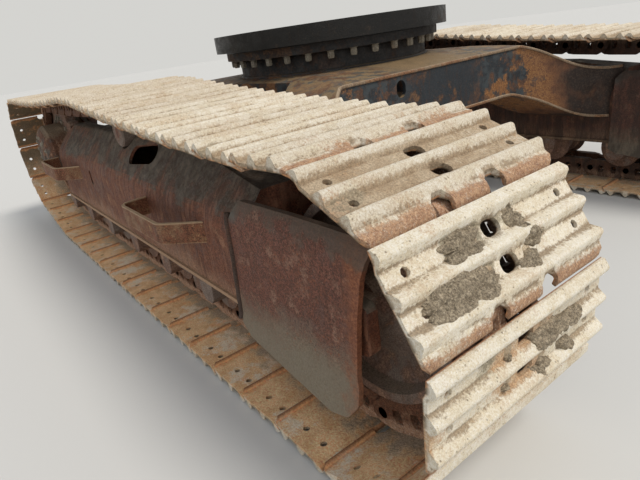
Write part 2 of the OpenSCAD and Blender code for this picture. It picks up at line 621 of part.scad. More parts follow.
// Slewing ring and what carries it
flange_z = race_z - move_gap - flange_t;
module pedestal() color("slategray") translate([slew_x, 0, 0]) difference() {
    rotate_extrude() polygon([[pedestal_r - pedestal_t, deck_z - 20], [pedestal_r, deck_z - 20],
        [pedestal_r, flange_z], [flange_r, flange_z], [flange_r, flange_z + flange_t],
        [pedestal_r - pedestal_t, flange_z + flange_t]]);
    body_solid(0);
}
swivel_r = 85;
module swivel_joint() color("dimgray") translate([slew_x, 0, 0]) rotate_extrude() polygon([
    [0, belly_z + body_t], [swivel_r + 45, belly_z + body_t], [swivel_r + 45, belly_z + body_t + 18],
    [swivel_r, belly_z + body_t + 18], [swivel_r, race_z - 60], [swivel_r - 20, race_z - 60],
    [swivel_r - 20, race_z - 12], [0, race_z - 12]]);
swing_r = swing_teeth * swing_module / 2;
// Half the angle of a tooth at radius r: a quarter of its pitch on the pitch circle,
// less the slope of its flanks of 20 degrees
function tooth_half(r) = 90 / swing_teeth + (r - swing_r) * tan(20) / swing_r * 180 / PI;
function tooth(k) =
    let (c = 360 * k / swing_teeth, tip = swing_r - swing_module, root = swing_r + 1.25 * swing_module)
    [root * unit(c - tooth_half(root)), tip * unit(c - tooth_half(tip)),
        tip * unit(c + tooth_half(tip)), root * unit(c + tooth_half(root))];
race_top = race_z + race_h - 8;
module fixed_race() color("dimgray") translate([slew_x, 0, flange_z + flange_t])
    linear_extrude(race_top - flange_z - flange_t) difference() {
        circle(r = seam_r - seat_gap, $fn = 180);
        polygon([for (k = [0:swing_teeth - 1]) each tooth(k)]);
    }
module turning_race() color("dimgray") translate([slew_x, 0, race_z]) difference() {
    cylinder(r = race_r, h = race_h, $fn = 180);
    translate([0, 0, -1]) cylinder(r = seam_r, h = race_h + 2, $fn = 180);
    for (k = [0:house_bolts - 1])
        rotate(360 * (k + 0.5) / house_bolts) translate([house_bolt_circle, 0, -1])
            cylinder(r = house_bolt_r, h = race_h + 2, $fn = 24);
}

center_frame();
leg(1, 1);  // leg_front_left
leg(1, -1);  // leg_front_right
leg(-1, 1);  // leg_rear_left
leg(-1, -1);  // leg_rear_right
belly_plate();
pedestal();
swivel_joint();
fixed_race();
turning_race();
left() track();  // track_left
right() track();  // track_right
left() track_frame();  // track_frame_left
right() track_frame();  // track_frame_right
left() guard(guard_rear);  // outer_guard_left
right() guard(guard_rear);  // outer_guard_right
left() mirror([0, 1, 0]) guard(guard_rear + inner_set);  // inner_guard_left
right() mirror([0, 1, 0]) guard(guard_rear + inner_set);  // inner_guard_right
left() step(step_x);  // step_front_left
right() step(step_x);  // step_front_right
left() step(step_x - step_gap);  // step_rear_left
right() step(step_x - step_gap);  // step_rear_right
left() idler();  // idler_left
right() idler();  // idler_right
left() idler_yoke();  // idler_yoke_left
right() idler_yoke();  // idler_yoke_right
left() carrier_roller();  // carrier_roller_left
right() carrier_roller();  // carrier_roller_right
left() carrier_stand();  // carrier_stand_left
right() carrier_stand();  // carrier_stand_right
left() track_rollers();  // track_rollers_left
right() track_rollers();  // track_rollers_right
left() chain_guides();  // chain_guides_left
right() chain_guides();  // chain_guides_right
left() sprocket();  // sprocket_left
right() sprocket();  // sprocket_right
left() final_drive();  // final_drive_left
right() final_drive();  // final_drive_right
left() travel_motor();  // travel_motor_left
right() travel_motor();  // travel_motor_right
left() motor_cover();  // motor_cover_left
right() motor_cover();  // motor_cover_right
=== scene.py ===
import json
import math

import bpy
import numpy as np
from mathutils import Matrix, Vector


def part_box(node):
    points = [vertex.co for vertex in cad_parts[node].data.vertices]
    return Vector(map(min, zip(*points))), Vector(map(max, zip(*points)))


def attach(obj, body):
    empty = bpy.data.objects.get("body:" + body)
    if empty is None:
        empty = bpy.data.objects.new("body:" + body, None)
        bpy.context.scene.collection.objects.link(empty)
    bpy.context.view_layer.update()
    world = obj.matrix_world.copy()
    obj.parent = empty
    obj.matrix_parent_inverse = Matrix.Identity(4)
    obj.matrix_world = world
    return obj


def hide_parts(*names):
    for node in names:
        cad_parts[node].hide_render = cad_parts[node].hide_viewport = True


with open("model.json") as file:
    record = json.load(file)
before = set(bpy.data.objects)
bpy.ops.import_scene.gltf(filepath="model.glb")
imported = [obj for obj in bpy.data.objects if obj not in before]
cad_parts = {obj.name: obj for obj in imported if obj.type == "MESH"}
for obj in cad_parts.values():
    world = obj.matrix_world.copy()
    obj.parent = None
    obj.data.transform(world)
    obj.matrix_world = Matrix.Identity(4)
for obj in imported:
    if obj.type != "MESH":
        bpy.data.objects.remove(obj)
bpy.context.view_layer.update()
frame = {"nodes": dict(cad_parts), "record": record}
BASE = "undercarriage"
SIDES = {-1: "right", 1: "left"}

# Sizes of the track, in millimetres, as the solids have them
PITCH, SHOES, HALF_GAUGE, GROUSER_TOP, RAIL = 171.45, 43, 995.0, 71.0, 42.0
IDLER_R, IDLER_Z, TEETH, SPROCKET_Z = 237.0, 363.0, 21, 433.0
ROLLER_R, CARRIER_R, CARRIER_X, CREST = 75.0, 60.0, -45.0, 741.0
IDLER_FLANGE, ROLLER_FLANGE, TOOTH_TIP, WHEEL_GAP = 22.0, 17.0, 12.0, 40.0
SAG_FRONT, SAG_REAR, LEAD_PIN, SEAT_GAP = 17.0, 16.0, 30.0, 0.3
# Sizes of the car body and the guards, in metres
SLEW_X, DECK_Z, BELLY_Z, BROW_Z, BODY_HALF, KINK_Y = 0.06, 0.742, 0.515, 0.72, 0.681, 0.531
LEG_END_X, LEG_END_Y, LEG_FOOT = 0.975, 0.89, 0.032
BEND_Y, BEND_R, FOOT_R, LEG_SLOPE = 0.4, 0.4, 0.3, math.radians(34)
PEDESTAL_R, FLANGE_Z, TRACK_Y = 0.446, 0.824, HALF_GAUGE / 1000
# A guard's rear edge: its place along, then pairs of distance out from the track's middle and height
GUARD_X = 1.0
GUARD_RAMP = ((0.205, 0.147), (0.1774, 0.239), (0.16705, 0.399), (0.16429, 0.491), (0.16015, 0.519))


# The chain's path
def wheels(base, shift):
    """Each wheel from the carrier roller forward and round: its centre along and up, the distance of the
    pins from it on the straight runs, that of a pin on it, and its turn for each millimetre of chain."""
    seat_i, seat_r, seat_c = (r + SEAT_GAP + RAIL for r in (IDLER_R, ROLLER_R, CARRIER_R))
    circle = PITCH / 2 / math.sin(2 * math.pi / TEETH)
    seat_s = circle * math.cos(2 * math.pi / TEETH)
    low = GROUSER_TOP + seat_r
    reach_i, reach_s = (math.sqrt((r + WHEEL_GAP + ROLLER_R + ROLLER_FLANGE) ** 2 - (z - low) ** 2)
                        for r, z in ((IDLER_R + IDLER_FLANGE, IDLER_Z), (circle + TOOTH_TIP, SPROCKET_Z)))
    turn_i, turn_s = (math.atan(PITCH / 2 / seat) * 2 / PITCH for seat in (seat_i, seat_s))
    front, rear = base / 2 + shift, shift - base / 2
    return np.array([(CARRIER_X, CREST - seat_c, seat_c, seat_c, 1 / seat_c),
                     (front, IDLER_Z, seat_i, math.hypot(seat_i, PITCH / 2), turn_i),
                     (front - reach_i, low, seat_r, seat_r, 1 / seat_r),
                     (rear + reach_s, low, seat_r, seat_r, 1 / seat_r),
                     (rear, SPROCKET_Z, seat_s, circle, turn_s)])


def spans(w):
    """Tangent from each wheel to the next: its normal's angle, both ends, sag and length with the sag."""
    sags, rows = [SAG_FRONT, 0, 0, 0, SAG_REAR], []
    for k in range(5):
        a, b = w[k], w[(k + 1) % 5]
        d = b[:2] - a[:2]
        n = math.atan2(d[1], d[0]) + math.acos((a[2] - b[2]) / np.hypot(*d))
        out = np.array([math.cos(n), math.sin(n)])
        start, end = a[:2] + a[2] * out, b[:2] + b[2] * out
        straight = np.hypot(*(end - start))
        rows.append((n, start, end, sags[k], straight + 8 * sags[k] ** 2 / straight / 3))
    return rows


def turn(s, k):
    """The angle through which the chain turns on wheel k, between the spans before and after it."""
    return (s[k - 1][0] - s[k][0]) % (2 * math.pi)


def pin_loop(base, shift):
    """Pins at equal steps along the belt: arcs of each wheel's pin circle, joined by the sagging spans."""
    w, s = wheels(base, shift), spans(wheels(base, shift))
    length = SHOES * PITCH
    first = (s[0][0] - math.pi / 2 + math.asin(LEAD_PIN / w[1][3])) / w[1][4]
    pins = []
    for i in range(SHOES):
        along, k = (first + i * PITCH) % length, 1
        while True:
            arc = turn(s, k) / w[k][4]
            if along < arc:
                a = s[k - 1][0] - along * w[k][4]
                pins.append(w[k][:2] + w[k][3] * np.array([math.cos(a), math.sin(a)]))
                break
            along -= arc
            n, start, end, sag, span_length = s[k]
            if along < span_length:
                f = along / span_length
                hang = 4 * sag * f * (1 - f)
                pins.append(start + (end - start) * f - np.array([math.cos(n), math.sin(n)]) * hang)
                break
            along, k = along - span_length, (k + 1) % 5
    return np.array(pins)


def belt_length(base):
    """Length of the belt round all the wheels: each arc plus the span after it."""
    w = wheels(base, 0)
    s = spans(w)
    return sum(turn(s, k) / w[k][4] + s[k][4] for k in range(5))


def chain():
    """Pins of one track: the wheels stand apart by as much as makes the belt a whole number of links."""
    base = SHOES * PITCH / 2 - 900
    for _ in range(8):
        base += (SHOES * PITCH - belt_length(base)) / 2
    middle = (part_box("idler_left")[0].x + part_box("idler_left")[1].x) * 500
    return pin_loop(base, middle - base / 2)


pins = chain()
along = np.roll(pins, -1, 0) - pins
along /= np.linalg.norm(along, axis=1)[:, None]
outward = np.stack([-along[:, 1], along[:, 0]], 1)


def carried(local, side, rows=slice(None)):
    """Points given as (u along a link, y across, v outward), repeated on every link and set out in metres.
    local may hold one set for all the links, or one set for each."""
    p, d, n = pins[rows], along[rows], outward[rows]
    local = np.broadcast_to(local, (len(p),) + local.shape[-2:])
    xz = p[:, None] + d[:, None] * local[..., 0:1] + n[:, None] * local[..., 2:3]
    y = local[..., 1] + side * HALF_GAUGE
    return np.stack([xz[..., 0], y, xz[..., 1]], -1) / 1000


# Surfaces and meshes
def lattice(i, seed):
    """A number from 0 to 1 for each lattice point, by multiplying and mixing its whole numbers' bits."""
    h = (i[..., 0] * 73856093) ^ (i[..., 1] * 19349663) ^ (i[..., 2] * 83492791) ^ (seed * 2654435761)
    h = (h ^ (h >> 13)) * 1274126177 & 0xFFFFFFFF
    return ((h ^ (h >> 16)) & 0xFFFF) / 65535.0


def noise(p, size, seed=0):
    """Value noise: numbers on a lattice of the given size, blended across each cell by a smooth step."""
    q = np.asarray(p, float) / size
    i = np.floor(q).astype(np.int64)
    f = q - i
    f = f * f * (3 - 2 * f)
    total = 0
    for corner in np.ndindex(2, 2, 2):
        c = np.array(corner)
        total = total + np.prod(np.where(c, f, 1 - f), -1) * lattice(i + c, seed)
    return total


def rough(p, size, seed=0):
    """Three octaves of value noise about zero, each half as large and half as strong as the last."""
    return sum((noise(p, size / 2 ** k, seed + k) - 0.5) / 2 ** k for k in range(3))


def smooth(x, lo, hi):
    """A smooth step: 3 t squared less 2 t cubed, where t runs from 0 at lo to 1 at hi."""
    t = np.clip((x - lo) / (hi - lo), 0, 1)
    return t * t * (3 - 2 * t)


def slab(top, bottom, keep):
    """A closed sheet between two matching grids of points. Kept cells face outward on top and inward below,
    and a wall stands wherever a kept cell meets a dropped one or the grid's edge. Gives points, quads and
    the rows of the two grids that the points come from."""
    m, n = keep.shape[0] + 1, keep.shape[1] + 1
    at = np.arange(m * n).reshape(m, n)
    low = m * n
    a, b, c, d = at[:-1, :-1], at[1:, :-1], at[1:, 1:], at[:-1, 1:]
    pad = np.pad(keep, 1)
    quads = [np.stack([a, b, c, d], -1)[keep], np.stack([a + low, d + low, c + low, b + low], -1)[keep]]
    walls = ((pad[:-2, 1:-1], a, d), (pad[2:, 1:-1], c, b), (pad[1:-1, :-2], b, a), (pad[1:-1, 2:], d, c))
    for beside, p, q in walls:
        quads.append(np.stack([p, q, q + low, p + low], -1)[keep & ~beside])
    used, quads = np.unique(np.concatenate(quads), return_inverse=True)
    points = np.concatenate([top.reshape(-1, 3), bottom.reshape(-1, 3)])[used]
    return points, quads.reshape(-1, 4), used


def ring_quads(count, k, closed):
    """Quads between neighbouring outlines of k points: outline i to i + 1, point j to j + 1."""
    i, j = np.meshgrid(np.arange(count if closed else count - 1), np.arange(k), indexing="ij")
    i2, j2 = (i + 1) % count, (j + 1) % k
    return np.stack([i * k + j, i2 * k + j, i2 * k + j2, i * k + j2], -1).reshape(-1, 4)


def revolved(profile, sides):
    """A closed outline of (distance, height) pairs turned about the Y axis: the ring's angle is one
    parameter and the place in the outline the other. Gives points and quads."""
    profile = np.asarray(profile, float)
    k = len(profile)
    a = np.arange(sides) * 2 * math.pi / sides
    points = np.stack([np.outer(np.cos(a), profile[:, 0]), np.broadcast_to(profile[:, 1], (sides, k)),
                       np.outer(np.sin(a), profile[:, 0])], -1).reshape(-1, 3)
    return points, ring_quads(sides, k, True)


def repeated(quads, places):
    """One set of quads for each set of points, with all the points in one list."""
    count, size = places.shape[:2]
    start = (np.arange(count) * size)[:, None, None]
    return places.reshape(-1, 3), (quads[None] + start).reshape(-1, quads.shape[-1])


def joined(*parts):
    """Several lists of points and quads as one."""
    points, quads, base = [], [], 0
    for p, q in parts:
        points.append(p)
        quads.append(q + base)
        base += len(p)
    return np.concatenate(points), np.concatenate(quads)


def outside_out(points, quads):
    """The same quads, all turned over if the volume that they close comes out negative."""
    a, b, c, d = (points[quads[:, k]] for k in range(4))
    volume = (np.cross(a, b) * c).sum() + (np.cross(a, c) * d).sum()
    return points, quads if volume > 0 else quads[:, ::-1]


def swept(profile, path, out, up, closed=False):
    """A closed outline of (out, up) pairs carried along a path: the place along the path is one parameter
    and the place in the outline the other. Quads across the outline close both ends of an open path."""
    profile = np.asarray(profile, float)
    count, k = len(path), len(profile)
    points = path[:, None] + out[:, None] * profile[None, :, :1] + up[:, None] * profile[None, :, 1:]
    quads = [ring_quads(count, k, closed)]
    if not closed:
        m = np.arange(k // 2 - 1)
        lid = np.stack([m, m + 1, k - 2 - m, k - 1 - m], -1)
        quads += [lid, lid[:, ::-1] + (count - 1) * k]
    return outside_out(points.reshape(-1, 3), np.concatenate(quads))


def half_round(radius, sides=8):
    """A small round outline for welds."""
    a = np.arange(sides) * 2 * math.pi / sides
    return np.stack([np.cos(a), np.sin(a)], -1) * radius


def heads(spots, aim, radius, height):
    """Bolt heads: a washer of twelve sides and a head of six, each an outline turned about the bolts' aim
    and set on its spot. Lengths in metres."""
    spots = np.asarray(spots, float)
    aims = np.tile(np.asarray(aim, float), (len(spots), 1))
    across = np.cross(aims, np.where(np.abs(aims[:, 2:]) > 0.9, [1.0, 0, 0], [0, 0, 1.0]))
    across /= np.linalg.norm(across, axis=1)[:, None]
    third = np.cross(across, aims)
    axle = 1e-5
    washer = revolved([(axle, -0.002), (1.3 * radius, -0.002), (1.3 * radius, 0.0025), (axle, 0.0025)], 12)
    head = revolved([(axle, 0.001), (radius, 0.001), (radius, 0.8 * height), (0.8 * radius, height),
                     (axle, height)], 6)
    made = []
    for local, quads in (washer, head):
        local, quads = outside_out(local, quads)
        places = spots[:, None] + across[:, None] * local[None, :, :1] + aims[:, None] * local[None, :, 1:2] \
            + third[:, None] * local[None, :, 2:]
        made.append(repeated(quads, places))
    return joined(*made)


def around(radius, count, height):
    """Spots in a ring about the slewing axis, in metres, and their angles."""
    a = (np.arange(count) + 0.5) * 2 * math.pi / count
    return np.stack([SLEW_X + radius * np.cos(a), radius * np.sin(a), np.full(count, height)], -1), a


def piece(name, points, quads, finish, slot, stands_for=(), body=BASE, sharp=35, values=None):
    """Puts points in metres and quads into a mesh, with any number per point as an attribute."""
    mesh = bpy.data.meshes.new(name)
    mesh.vertices.add(len(points))
    mesh.vertices.foreach_set("co", np.ascontiguousarray(points, np.float32).ravel())
    mesh.loops.add(quads.size)
    mesh.loops.foreach_set("vertex_index", quads.astype(np.int32).ravel())
    mesh.polygons.add(len(quads))
    mesh.polygons.foreach_set("loop_start", np.arange(0, quads.size, quads.shape[1], dtype=np.int32))
    mesh.polygons.foreach_set("use_smooth", np.ones(len(quads), bool))
    mesh.update(calc_edges=True)
    mesh.validate()
    for key, numbers in (values or {}).items():
        held = mesh.attributes.new(key, "FLOAT", "POINT")
        held.data.foreach_set("value", np.ascontiguousarray(numbers, np.float32))
    mesh.set_sharp_from_angle(angle=math.radians(sharp))
    mesh.materials.append(finish)
    made = bpy.data.objects.new(name, mesh)
    bpy.context.scene.collection.objects.link(made)
    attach(made, body)
    if stands_for:
        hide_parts(*stands_for)


# Finishes
def darker(colour, share):
    """A share of a colour's light."""
    return tuple(share * c for c in colour)


class Finish:
    """A material or the world, built up one node at a time. Every call gives the socket that it makes."""

    def __init__(self, name, world=False):
        self.owner = (bpy.data.worlds if world else bpy.data.materials).new(name)
        self.owner.use_nodes = True
        self.tree = self.owner.node_tree
        self.tree.nodes.clear()
        where = self.node("TexCoord")
        self.place, self.normal = where.outputs["Object"], where.outputs["Normal"]

    def node(self, kind, inputs=None, **settings):
        """A shader node, whose inputs are joined to sockets or set to values."""
        made = self.tree.nodes.new("ShaderNode" + kind)
        for key, value in settings.items():
            setattr(made, key, value)
        for key, value in (inputs or {}).items():
            if isinstance(value, bpy.types.NodeSocket):
                self.tree.links.new(value, made.inputs[key])
            else:
                made.inputs[key].default_value = value
        return made

    def stretched(self, scale, shift=(0, 0, 0)):
        """The place on the piece, scaled along each axis and shifted."""
        return self.node("Mapping", {"Vector": self.place, "Scale": scale, "Location": shift}).outputs[0]

    def shifted(self, *shift):
        """The place on the piece, shifted, for a cloud that agrees with no other."""
        return self.stretched((1, 1, 1), shift)

    def clouds(self, scale, detail=5, roughness=0.6, at=None, warp=0.0):
        """Soft noise of this many spots to the metre."""
        return self.node("TexNoise", {"Vector": at or self.place, "Scale": scale, "Detail": detail,
                         "Roughness": roughness, "Distortion": warp}).outputs["Fac"]

    def pushed(self, scale, by):
        """The place on the piece, pushed about by a coloured cloud."""
        cloud = self.node("TexNoise", {"Vector": self.place, "Scale": scale, "Detail": 3}).outputs["Color"]
        push = self.node("VectorMath", {0: cloud, 1: (by, by, by)}, operation="MULTIPLY").outputs[0]
        return self.node("VectorMath", {0: self.place, 1: push}, operation="ADD").outputs[0]

    def cells(self, scale, at=None):
        """Distance to the nearest of scattered points, this many to the metre."""
        return self.node("TexVoronoi", {"Vector": at or self.place, "Scale": scale}).outputs["Distance"]

    def between(self, value, lo, hi, low=0.0, high=1.0):
        """A smooth step from low to high, as the value goes from lo to hi."""
        return self.node("MapRange", {"Value": value, "From Min": lo, "From Max": hi, "To Min": low,
                         "To Max": high}, interpolation_type="SMOOTHSTEP").outputs[0]

    def ragged(self, value, cloud, swing, lo, hi, low=0.0, high=1.0, spread=(0.2, 0.8)):
        """A smooth step in a value from 0 to 1, whose edge a cloud moves to and fro by the swing."""
        return self.between(self.sum(value, self.between(cloud, *spread, -swing, swing)), lo, hi, low, high)

    def maths(self, operation, *values, clamp=False):
        """What an operation makes of the values."""
        return self.node("Math", dict(enumerate(values)), operation=operation, use_clamp=clamp).outputs[0]

    def sum(self, a, b):
        """Both added up, and held between 0 and 1."""
        return self.maths("ADD", a, b, clamp=True)

    def less(self, a, b):
        """The first less the second."""
        return self.maths("SUBTRACT", a, b)

    def times(self, a, b):
        """One times the other."""
        return self.maths("MULTIPLY", a, b)

    def unsigned(self, a):
        """The value without its sign."""
        return self.maths("ABSOLUTE", a)

    def mix(self, amount, a, b, how="MIX"):
        """Colour a, with an amount of colour b laid over it."""
        a, b = (tuple(c) + (1,) if isinstance(c, tuple) else c for c in (a, b))
        return self.node("Mix", {0: amount, 6: a, 7: b}, data_type="RGBA", blend_type=how).outputs[2]

    def tinted(self, colour, over, value, lo, hi, amount=1.0):
        """The colour, with another over it where the value goes from lo to hi, up to the given amount."""
        return self.mix(self.between(value, lo, hi, 0, amount), colour, over)

    def number(self, name):
        """A number that the mesh holds at each point."""
        return self.node("Attribute", attribute_name=name, attribute_type="GEOMETRY").outputs["Fac"]

    def axis(self, vector, index):
        """One of the three numbers of a vector."""
        return self.node("SeparateXYZ", {0: vector}).outputs[index]

    def aside(self):
        """Distance from the machine's middle plane."""
        return self.unsigned(self.axis(self.place, 1))

    def bumped(self, height, depth, strength=1.0):
        """The surface's normal, tilted as by this height times the depth."""
        return self.node("Bump", {"Height": height, "Distance": depth, "Strength": strength}).outputs[0]

    def speckled(self, colour, scale, amount, at=None):
        """The colour, made lighter and darker by fine grain."""
        grain = self.between(self.clouds(scale, 4, 0.75, at), 0.3, 0.7, 0.12, 0.88)
        return self.mix(amount, colour, grain, "OVERLAY")

    def inward_painted_shade(self, colour, edge):
        """The colour, near black with painted shade nearer the middle than this distance, broken up by
        streaks of a stretched cloud.
        """
        inside = self.between(self.aside(), edge - 0.01, edge, 1, 0)
        shade_breaks = self.clouds(30, 6, 0.75, self.stretched((1, 1, 0.25)))
        broken = self.between(shade_breaks, 0.4, 0.66, 0.8, 0.4)
        # Near-black painted shade on all that lies nearer the middle than the given distance
        return self.mix(self.times(inside, broken), colour, (0.022, 0.016, 0.013))

    def done(self, colour, roughness, normal, metallic=0.0, specular=0.35):
        """The finished material."""
        shader = self.node("BsdfPrincipled", {"Base Color": colour, "Roughness": roughness,
                           "Normal": normal, "Metallic": metallic, "Specular IOR Level": specular}).outputs[0]
        self.tree.links.new(shader, self.node("OutputMaterial").inputs["Surface"])
        return self.owner


def shoe_finish():
    """Pale dried mud over rust. Numbers on the mesh say where the mud has rubbed off, how deep in a corner
    and how low between the grousers a point is, where silt has dried and ochre shows, how brown the whole
    shoe is, and which side faces in. Corners are painted shade at the grousers' feet on the outer face and
    rust at the seams on the inner face. The brownness is random per shoe, plus painted shadow towards the
    rear. The inner face's orange clay low down is painted paler and warmer for light bounced from the floor."""
    f = Finish("dried_mud_on_shoe")
    names = "bare", "inner", "tone_and_shadow", "corner", "silt", "deep", "ochre"
    bare, inner, tone_and_shadow, corner, silt, trough, ochre = (f.number(name) for name in names)
    broad, patch = f.clouds(6.5, 6, 0.62), f.clouds(21, 6, 0.66)
    fine, grain = f.clouds(120, 6, 0.75), f.clouds(380, 4, 0.8)
    pits, sparks = f.clouds(260, 5, 0.8, f.shifted(9, 5, 2)), f.clouds(330, 3, 0.8, f.shifted(2, 8, 4))
    mud = f.tinted((0.79, 0.72, 0.585), (0.7, 0.61, 0.455), patch, 0.4, 0.62)
    agreed = f.sum(f.times(broad, 0.6), f.times(fine, 0.4))
    mud = f.tinted(mud, (0.6, 0.455, 0.295), agreed, 0.5, 0.62, 0.65)
    mud = f.tinted(mud, (0.86, 0.82, 0.72), grain, 0.54, 0.66, 0.7)
    glint = f.times(f.between(sparks, 0.6, 0.67), f.between(fine, 0.45, 0.6))
    mud = f.mix(f.times(glint, 0.85), mud, (0.95, 0.935, 0.88))
    mud = f.tinted(mud, (0.3, 0.215, 0.13), pits, 0.585, 0.66, 0.8)
    loam = f.tinted((0.44, 0.335, 0.215), (0.33, 0.23, 0.135), patch, 0.4, 0.6)
    mud = f.mix(f.ragged(trough, fine, 0.3, 0.2, 0.8, 0, 0.85), mud, loam)
    # Painted shade in the creases at the grousers' feet on the outer face
    mud = f.mix(f.ragged(corner, fine, 0.45, 0.45, 1.05, 0, 0.85), mud, (0.285, 0.205, 0.125))
    grey = f.tinted((0.215, 0.18, 0.118), (0.44, 0.375, 0.265), fine, 0.42, 0.58)
    mud = f.mix(f.ragged(silt, patch, 0.3, 0.4, 0.75, 0, 0.85), mud, grey)
    # Brownness of the whole shoe: a random share plus painted shadow towards the rear
    mud = f.tinted(mud, (0.36, 0.26, 0.17), tone_and_shadow, 0, 1, 0.5)
    clay = f.tinted((0.47, 0.255, 0.12), (0.62, 0.44, 0.27), grain, 0.4, 0.6)
    mud = f.mix(f.ragged(ochre, fine, 0.35, 0.35, 0.95, 0, 0.8), mud, clay)
    dots = f.times(f.between(f.cells(95), 0.1, 0.24, 1, 0), f.between(patch, 0.46, 0.6))
    mud = f.mix(f.times(dots, 0.75), mud, (0.2, 0.145, 0.09))

    rust = f.tinted((0.27, 0.135, 0.078), (0.47, 0.285, 0.165), fine, 0.35, 0.62)
    rust = f.tinted(rust, (0.54, 0.39, 0.26), grain, 0.5, 0.66)
    fleck = f.clouds(150, 6, 0.8, f.shifted(3, 7, 1))
    rust = f.tinted(rust, (0.78, 0.72, 0.62), fleck, 0.57, 0.64, 0.45)
    off = f.ragged(bare, fine, 0.3, 0.38, 0.88, spread=(0.25, 0.75))
    out = f.speckled(f.mix(off, mud, rust), 300, 0.42)

    reach = f.unsigned(f.less(f.aside(), TRACK_Y))
    low = f.between(f.axis(f.place, 2), 0.12, 0.42, 1, 0)
    rim = f.times(f.ragged(reach, patch, 0.06, 0.06, 0.16), low)
    # Colour of the shoes' inner face: rust-tan, made darker higher up, away from the ground
    stain_and_bounce_light = f.tinted((0.4, 0.31, 0.215), (0.28, 0.22, 0.155), patch, 0.38, 0.6)
    stain_and_bounce_light = f.mix(f.between(low, 0, 1, 0.75, 0), stain_and_bounce_light, (0.115, 0.078, 0.042))
    # Exposed inner face low down: orange clay, painted paler and warmer for light bounced up from the floor
    stain_and_bounce_light = f.mix(rim, stain_and_bounce_light, f.tinted((0.89, 0.575, 0.31), (0.74, 0.465, 0.24), patch, 0.38, 0.6))
    chalk = f.between(f.clouds(9, 6, 0.7, f.shifted(4, 1, 7)), 0.49, 0.6, 0, 0.75)
    stain_and_bounce_light = f.mix(f.times(chalk, rim), stain_and_bounce_light, (0.8, 0.7, 0.55))
    stain_and_bounce_light = f.tinted(stain_and_bounce_light, (0.24, 0.12, 0.06), fine, 0.56, 0.72, 0.6)
    halo = f.tinted((0.84, 0.4, 0.16), (0.56, 0.27, 0.12), fine, 0.42, 0.58)
    stain_and_bounce_light = f.mix(f.ragged(corner, patch, 0.2, 0.02, 0.22, 0, 0.7), stain_and_bounce_light, halo)
    stain_and_bounce_light = f.tinted(stain_and_bounce_light, (0.23, 0.105, 0.055), corner, 0.35, 1, 0.8)
    out = f.tinted(out, f.speckled(stain_and_bounce_light, 240, 0.6), inner, 0.5, 0.98)
    height = f.sum(f.times(fine, 0.55), f.sum(f.times(grain, 0.25), f.times(pits, -0.35)))
    return f.done(out, f.between(fine, 0.3, 0.7, 0.72, 0.97), f.bumped(height, 0.008, 0.9), specular=0.25)


def damp_mud():
    """Grey-brown lumps, grainy all over, with painted shade in the hollows between crumbs."""
    f = Finish("damp_mud")
    mid, fine, crumbs = f.clouds(70, 6, 0.75), f.clouds(420, 4, 0.7), f.cells(115, f.pushed(60, 0.01))
    colour = f.tinted((0.255, 0.203, 0.137), (0.41, 0.335, 0.235), mid, 0.38, 0.6)
    colour = f.tinted(colour, (0.58, 0.49, 0.365), fine, 0.54, 0.66, 0.8)
    colour = f.tinted(colour, (0.105, 0.086, 0.06), f.clouds(120, 6, 0.8), 0.56, 0.64, 0.65)
    colour = f.speckled(colour, 300, 0.7)
    # Painted shade in the hollows between crumbs
    colour = f.tinted(colour, (0.11, 0.09, 0.062), crumbs, 0.5, 0.85, 0.4)
    height = f.sum(f.times(mid, 0.6), f.sum(f.times(fine, 0.2), f.between(crumbs, 0, 0.8, 0.2, 0)))
    return f.done(colour, 0.92, f.bumped(height, 0.014, 1.0), specular=0.2)


def worn(f, paint, rust, dust, rusted, dusty, grain, deep, gloss, seed, low=None, speckle=0.6):
    """Colour, roughness and normal of paint or steel with rust where a broad and a fine cloud agree,
    run-down streaks, dust on what faces up, and a fine speckle. low, if given, is (height, depth, colour)
    of mud that fades in towards the ground."""
    here = f.shifted(seed, 2 * seed, -seed)
    broad, mid = f.clouds(3.2, 6, 0.6, here, 0.4), f.clouds(22, 6, 0.65, here)
    fine = f.clouds(170, 5, 0.7, here)
    runs = f.clouds(9, 5, 0.6, f.stretched((6, 6, 0.7), (seed, 0, 0)))
    colour = f.tinted(paint, darker(paint, 0.62), mid, 0.3, 0.7, 0.6)
    shade = f.tinted(rust, darker(rust, 0.4), fine, 0.4, 0.62)
    shade = f.tinted(shade, grain, mid, 0.5, 0.72, 0.7)
    agreed = f.sum(f.times(broad, 0.62), f.times(mid, 0.38))
    colour = f.tinted(colour, shade, agreed, 0.62 - 0.3 * rusted, 0.7 - 0.3 * rusted)
    colour = f.tinted(colour, darker(rust, 0.45), runs, 0.53, 0.7, 0.6)
    colour = f.tinted(colour, grain, fine, 0.58, 0.68, 0.6)
    up = f.between(f.axis(f.normal, 2), 0.15, 0.95)
    colour = f.mix(f.times(f.ragged(up, mid, 0.35, 0.25, 0.95), dusty), colour, dust)
    if low:
        height, depth, mud = low
        near = f.ragged(f.axis(f.place, 2), broad, 0.06, height - depth, height, 1, 0)
        colour = f.mix(f.times(near, f.between(fine, 0.35, 0.6, 0.35, 1.0)), colour, mud)
    colour = f.speckled(colour, 260, speckle, here)
    bump = f.bumped(f.sum(f.times(fine, 0.55), f.times(mid, 0.45)), deep, 0.9)
    return colour, f.between(mid, 0.3, 0.7, gloss - 0.1, min(gloss + 0.18, 1)), bump


def weathered(name, paint, rust, dust, rusted, dusty, grain=(0.4, 0.24, 0.15), deep=0.0025, gloss=0.72,
              seed=0.0, metallic=0.0):
    """Worn paint or steel, as it is, in a material of its own."""
    f = Finish(name)
    return f.done(*worn(f, paint, rust, dust, rusted, dusty, grain, deep, gloss, seed), metallic)


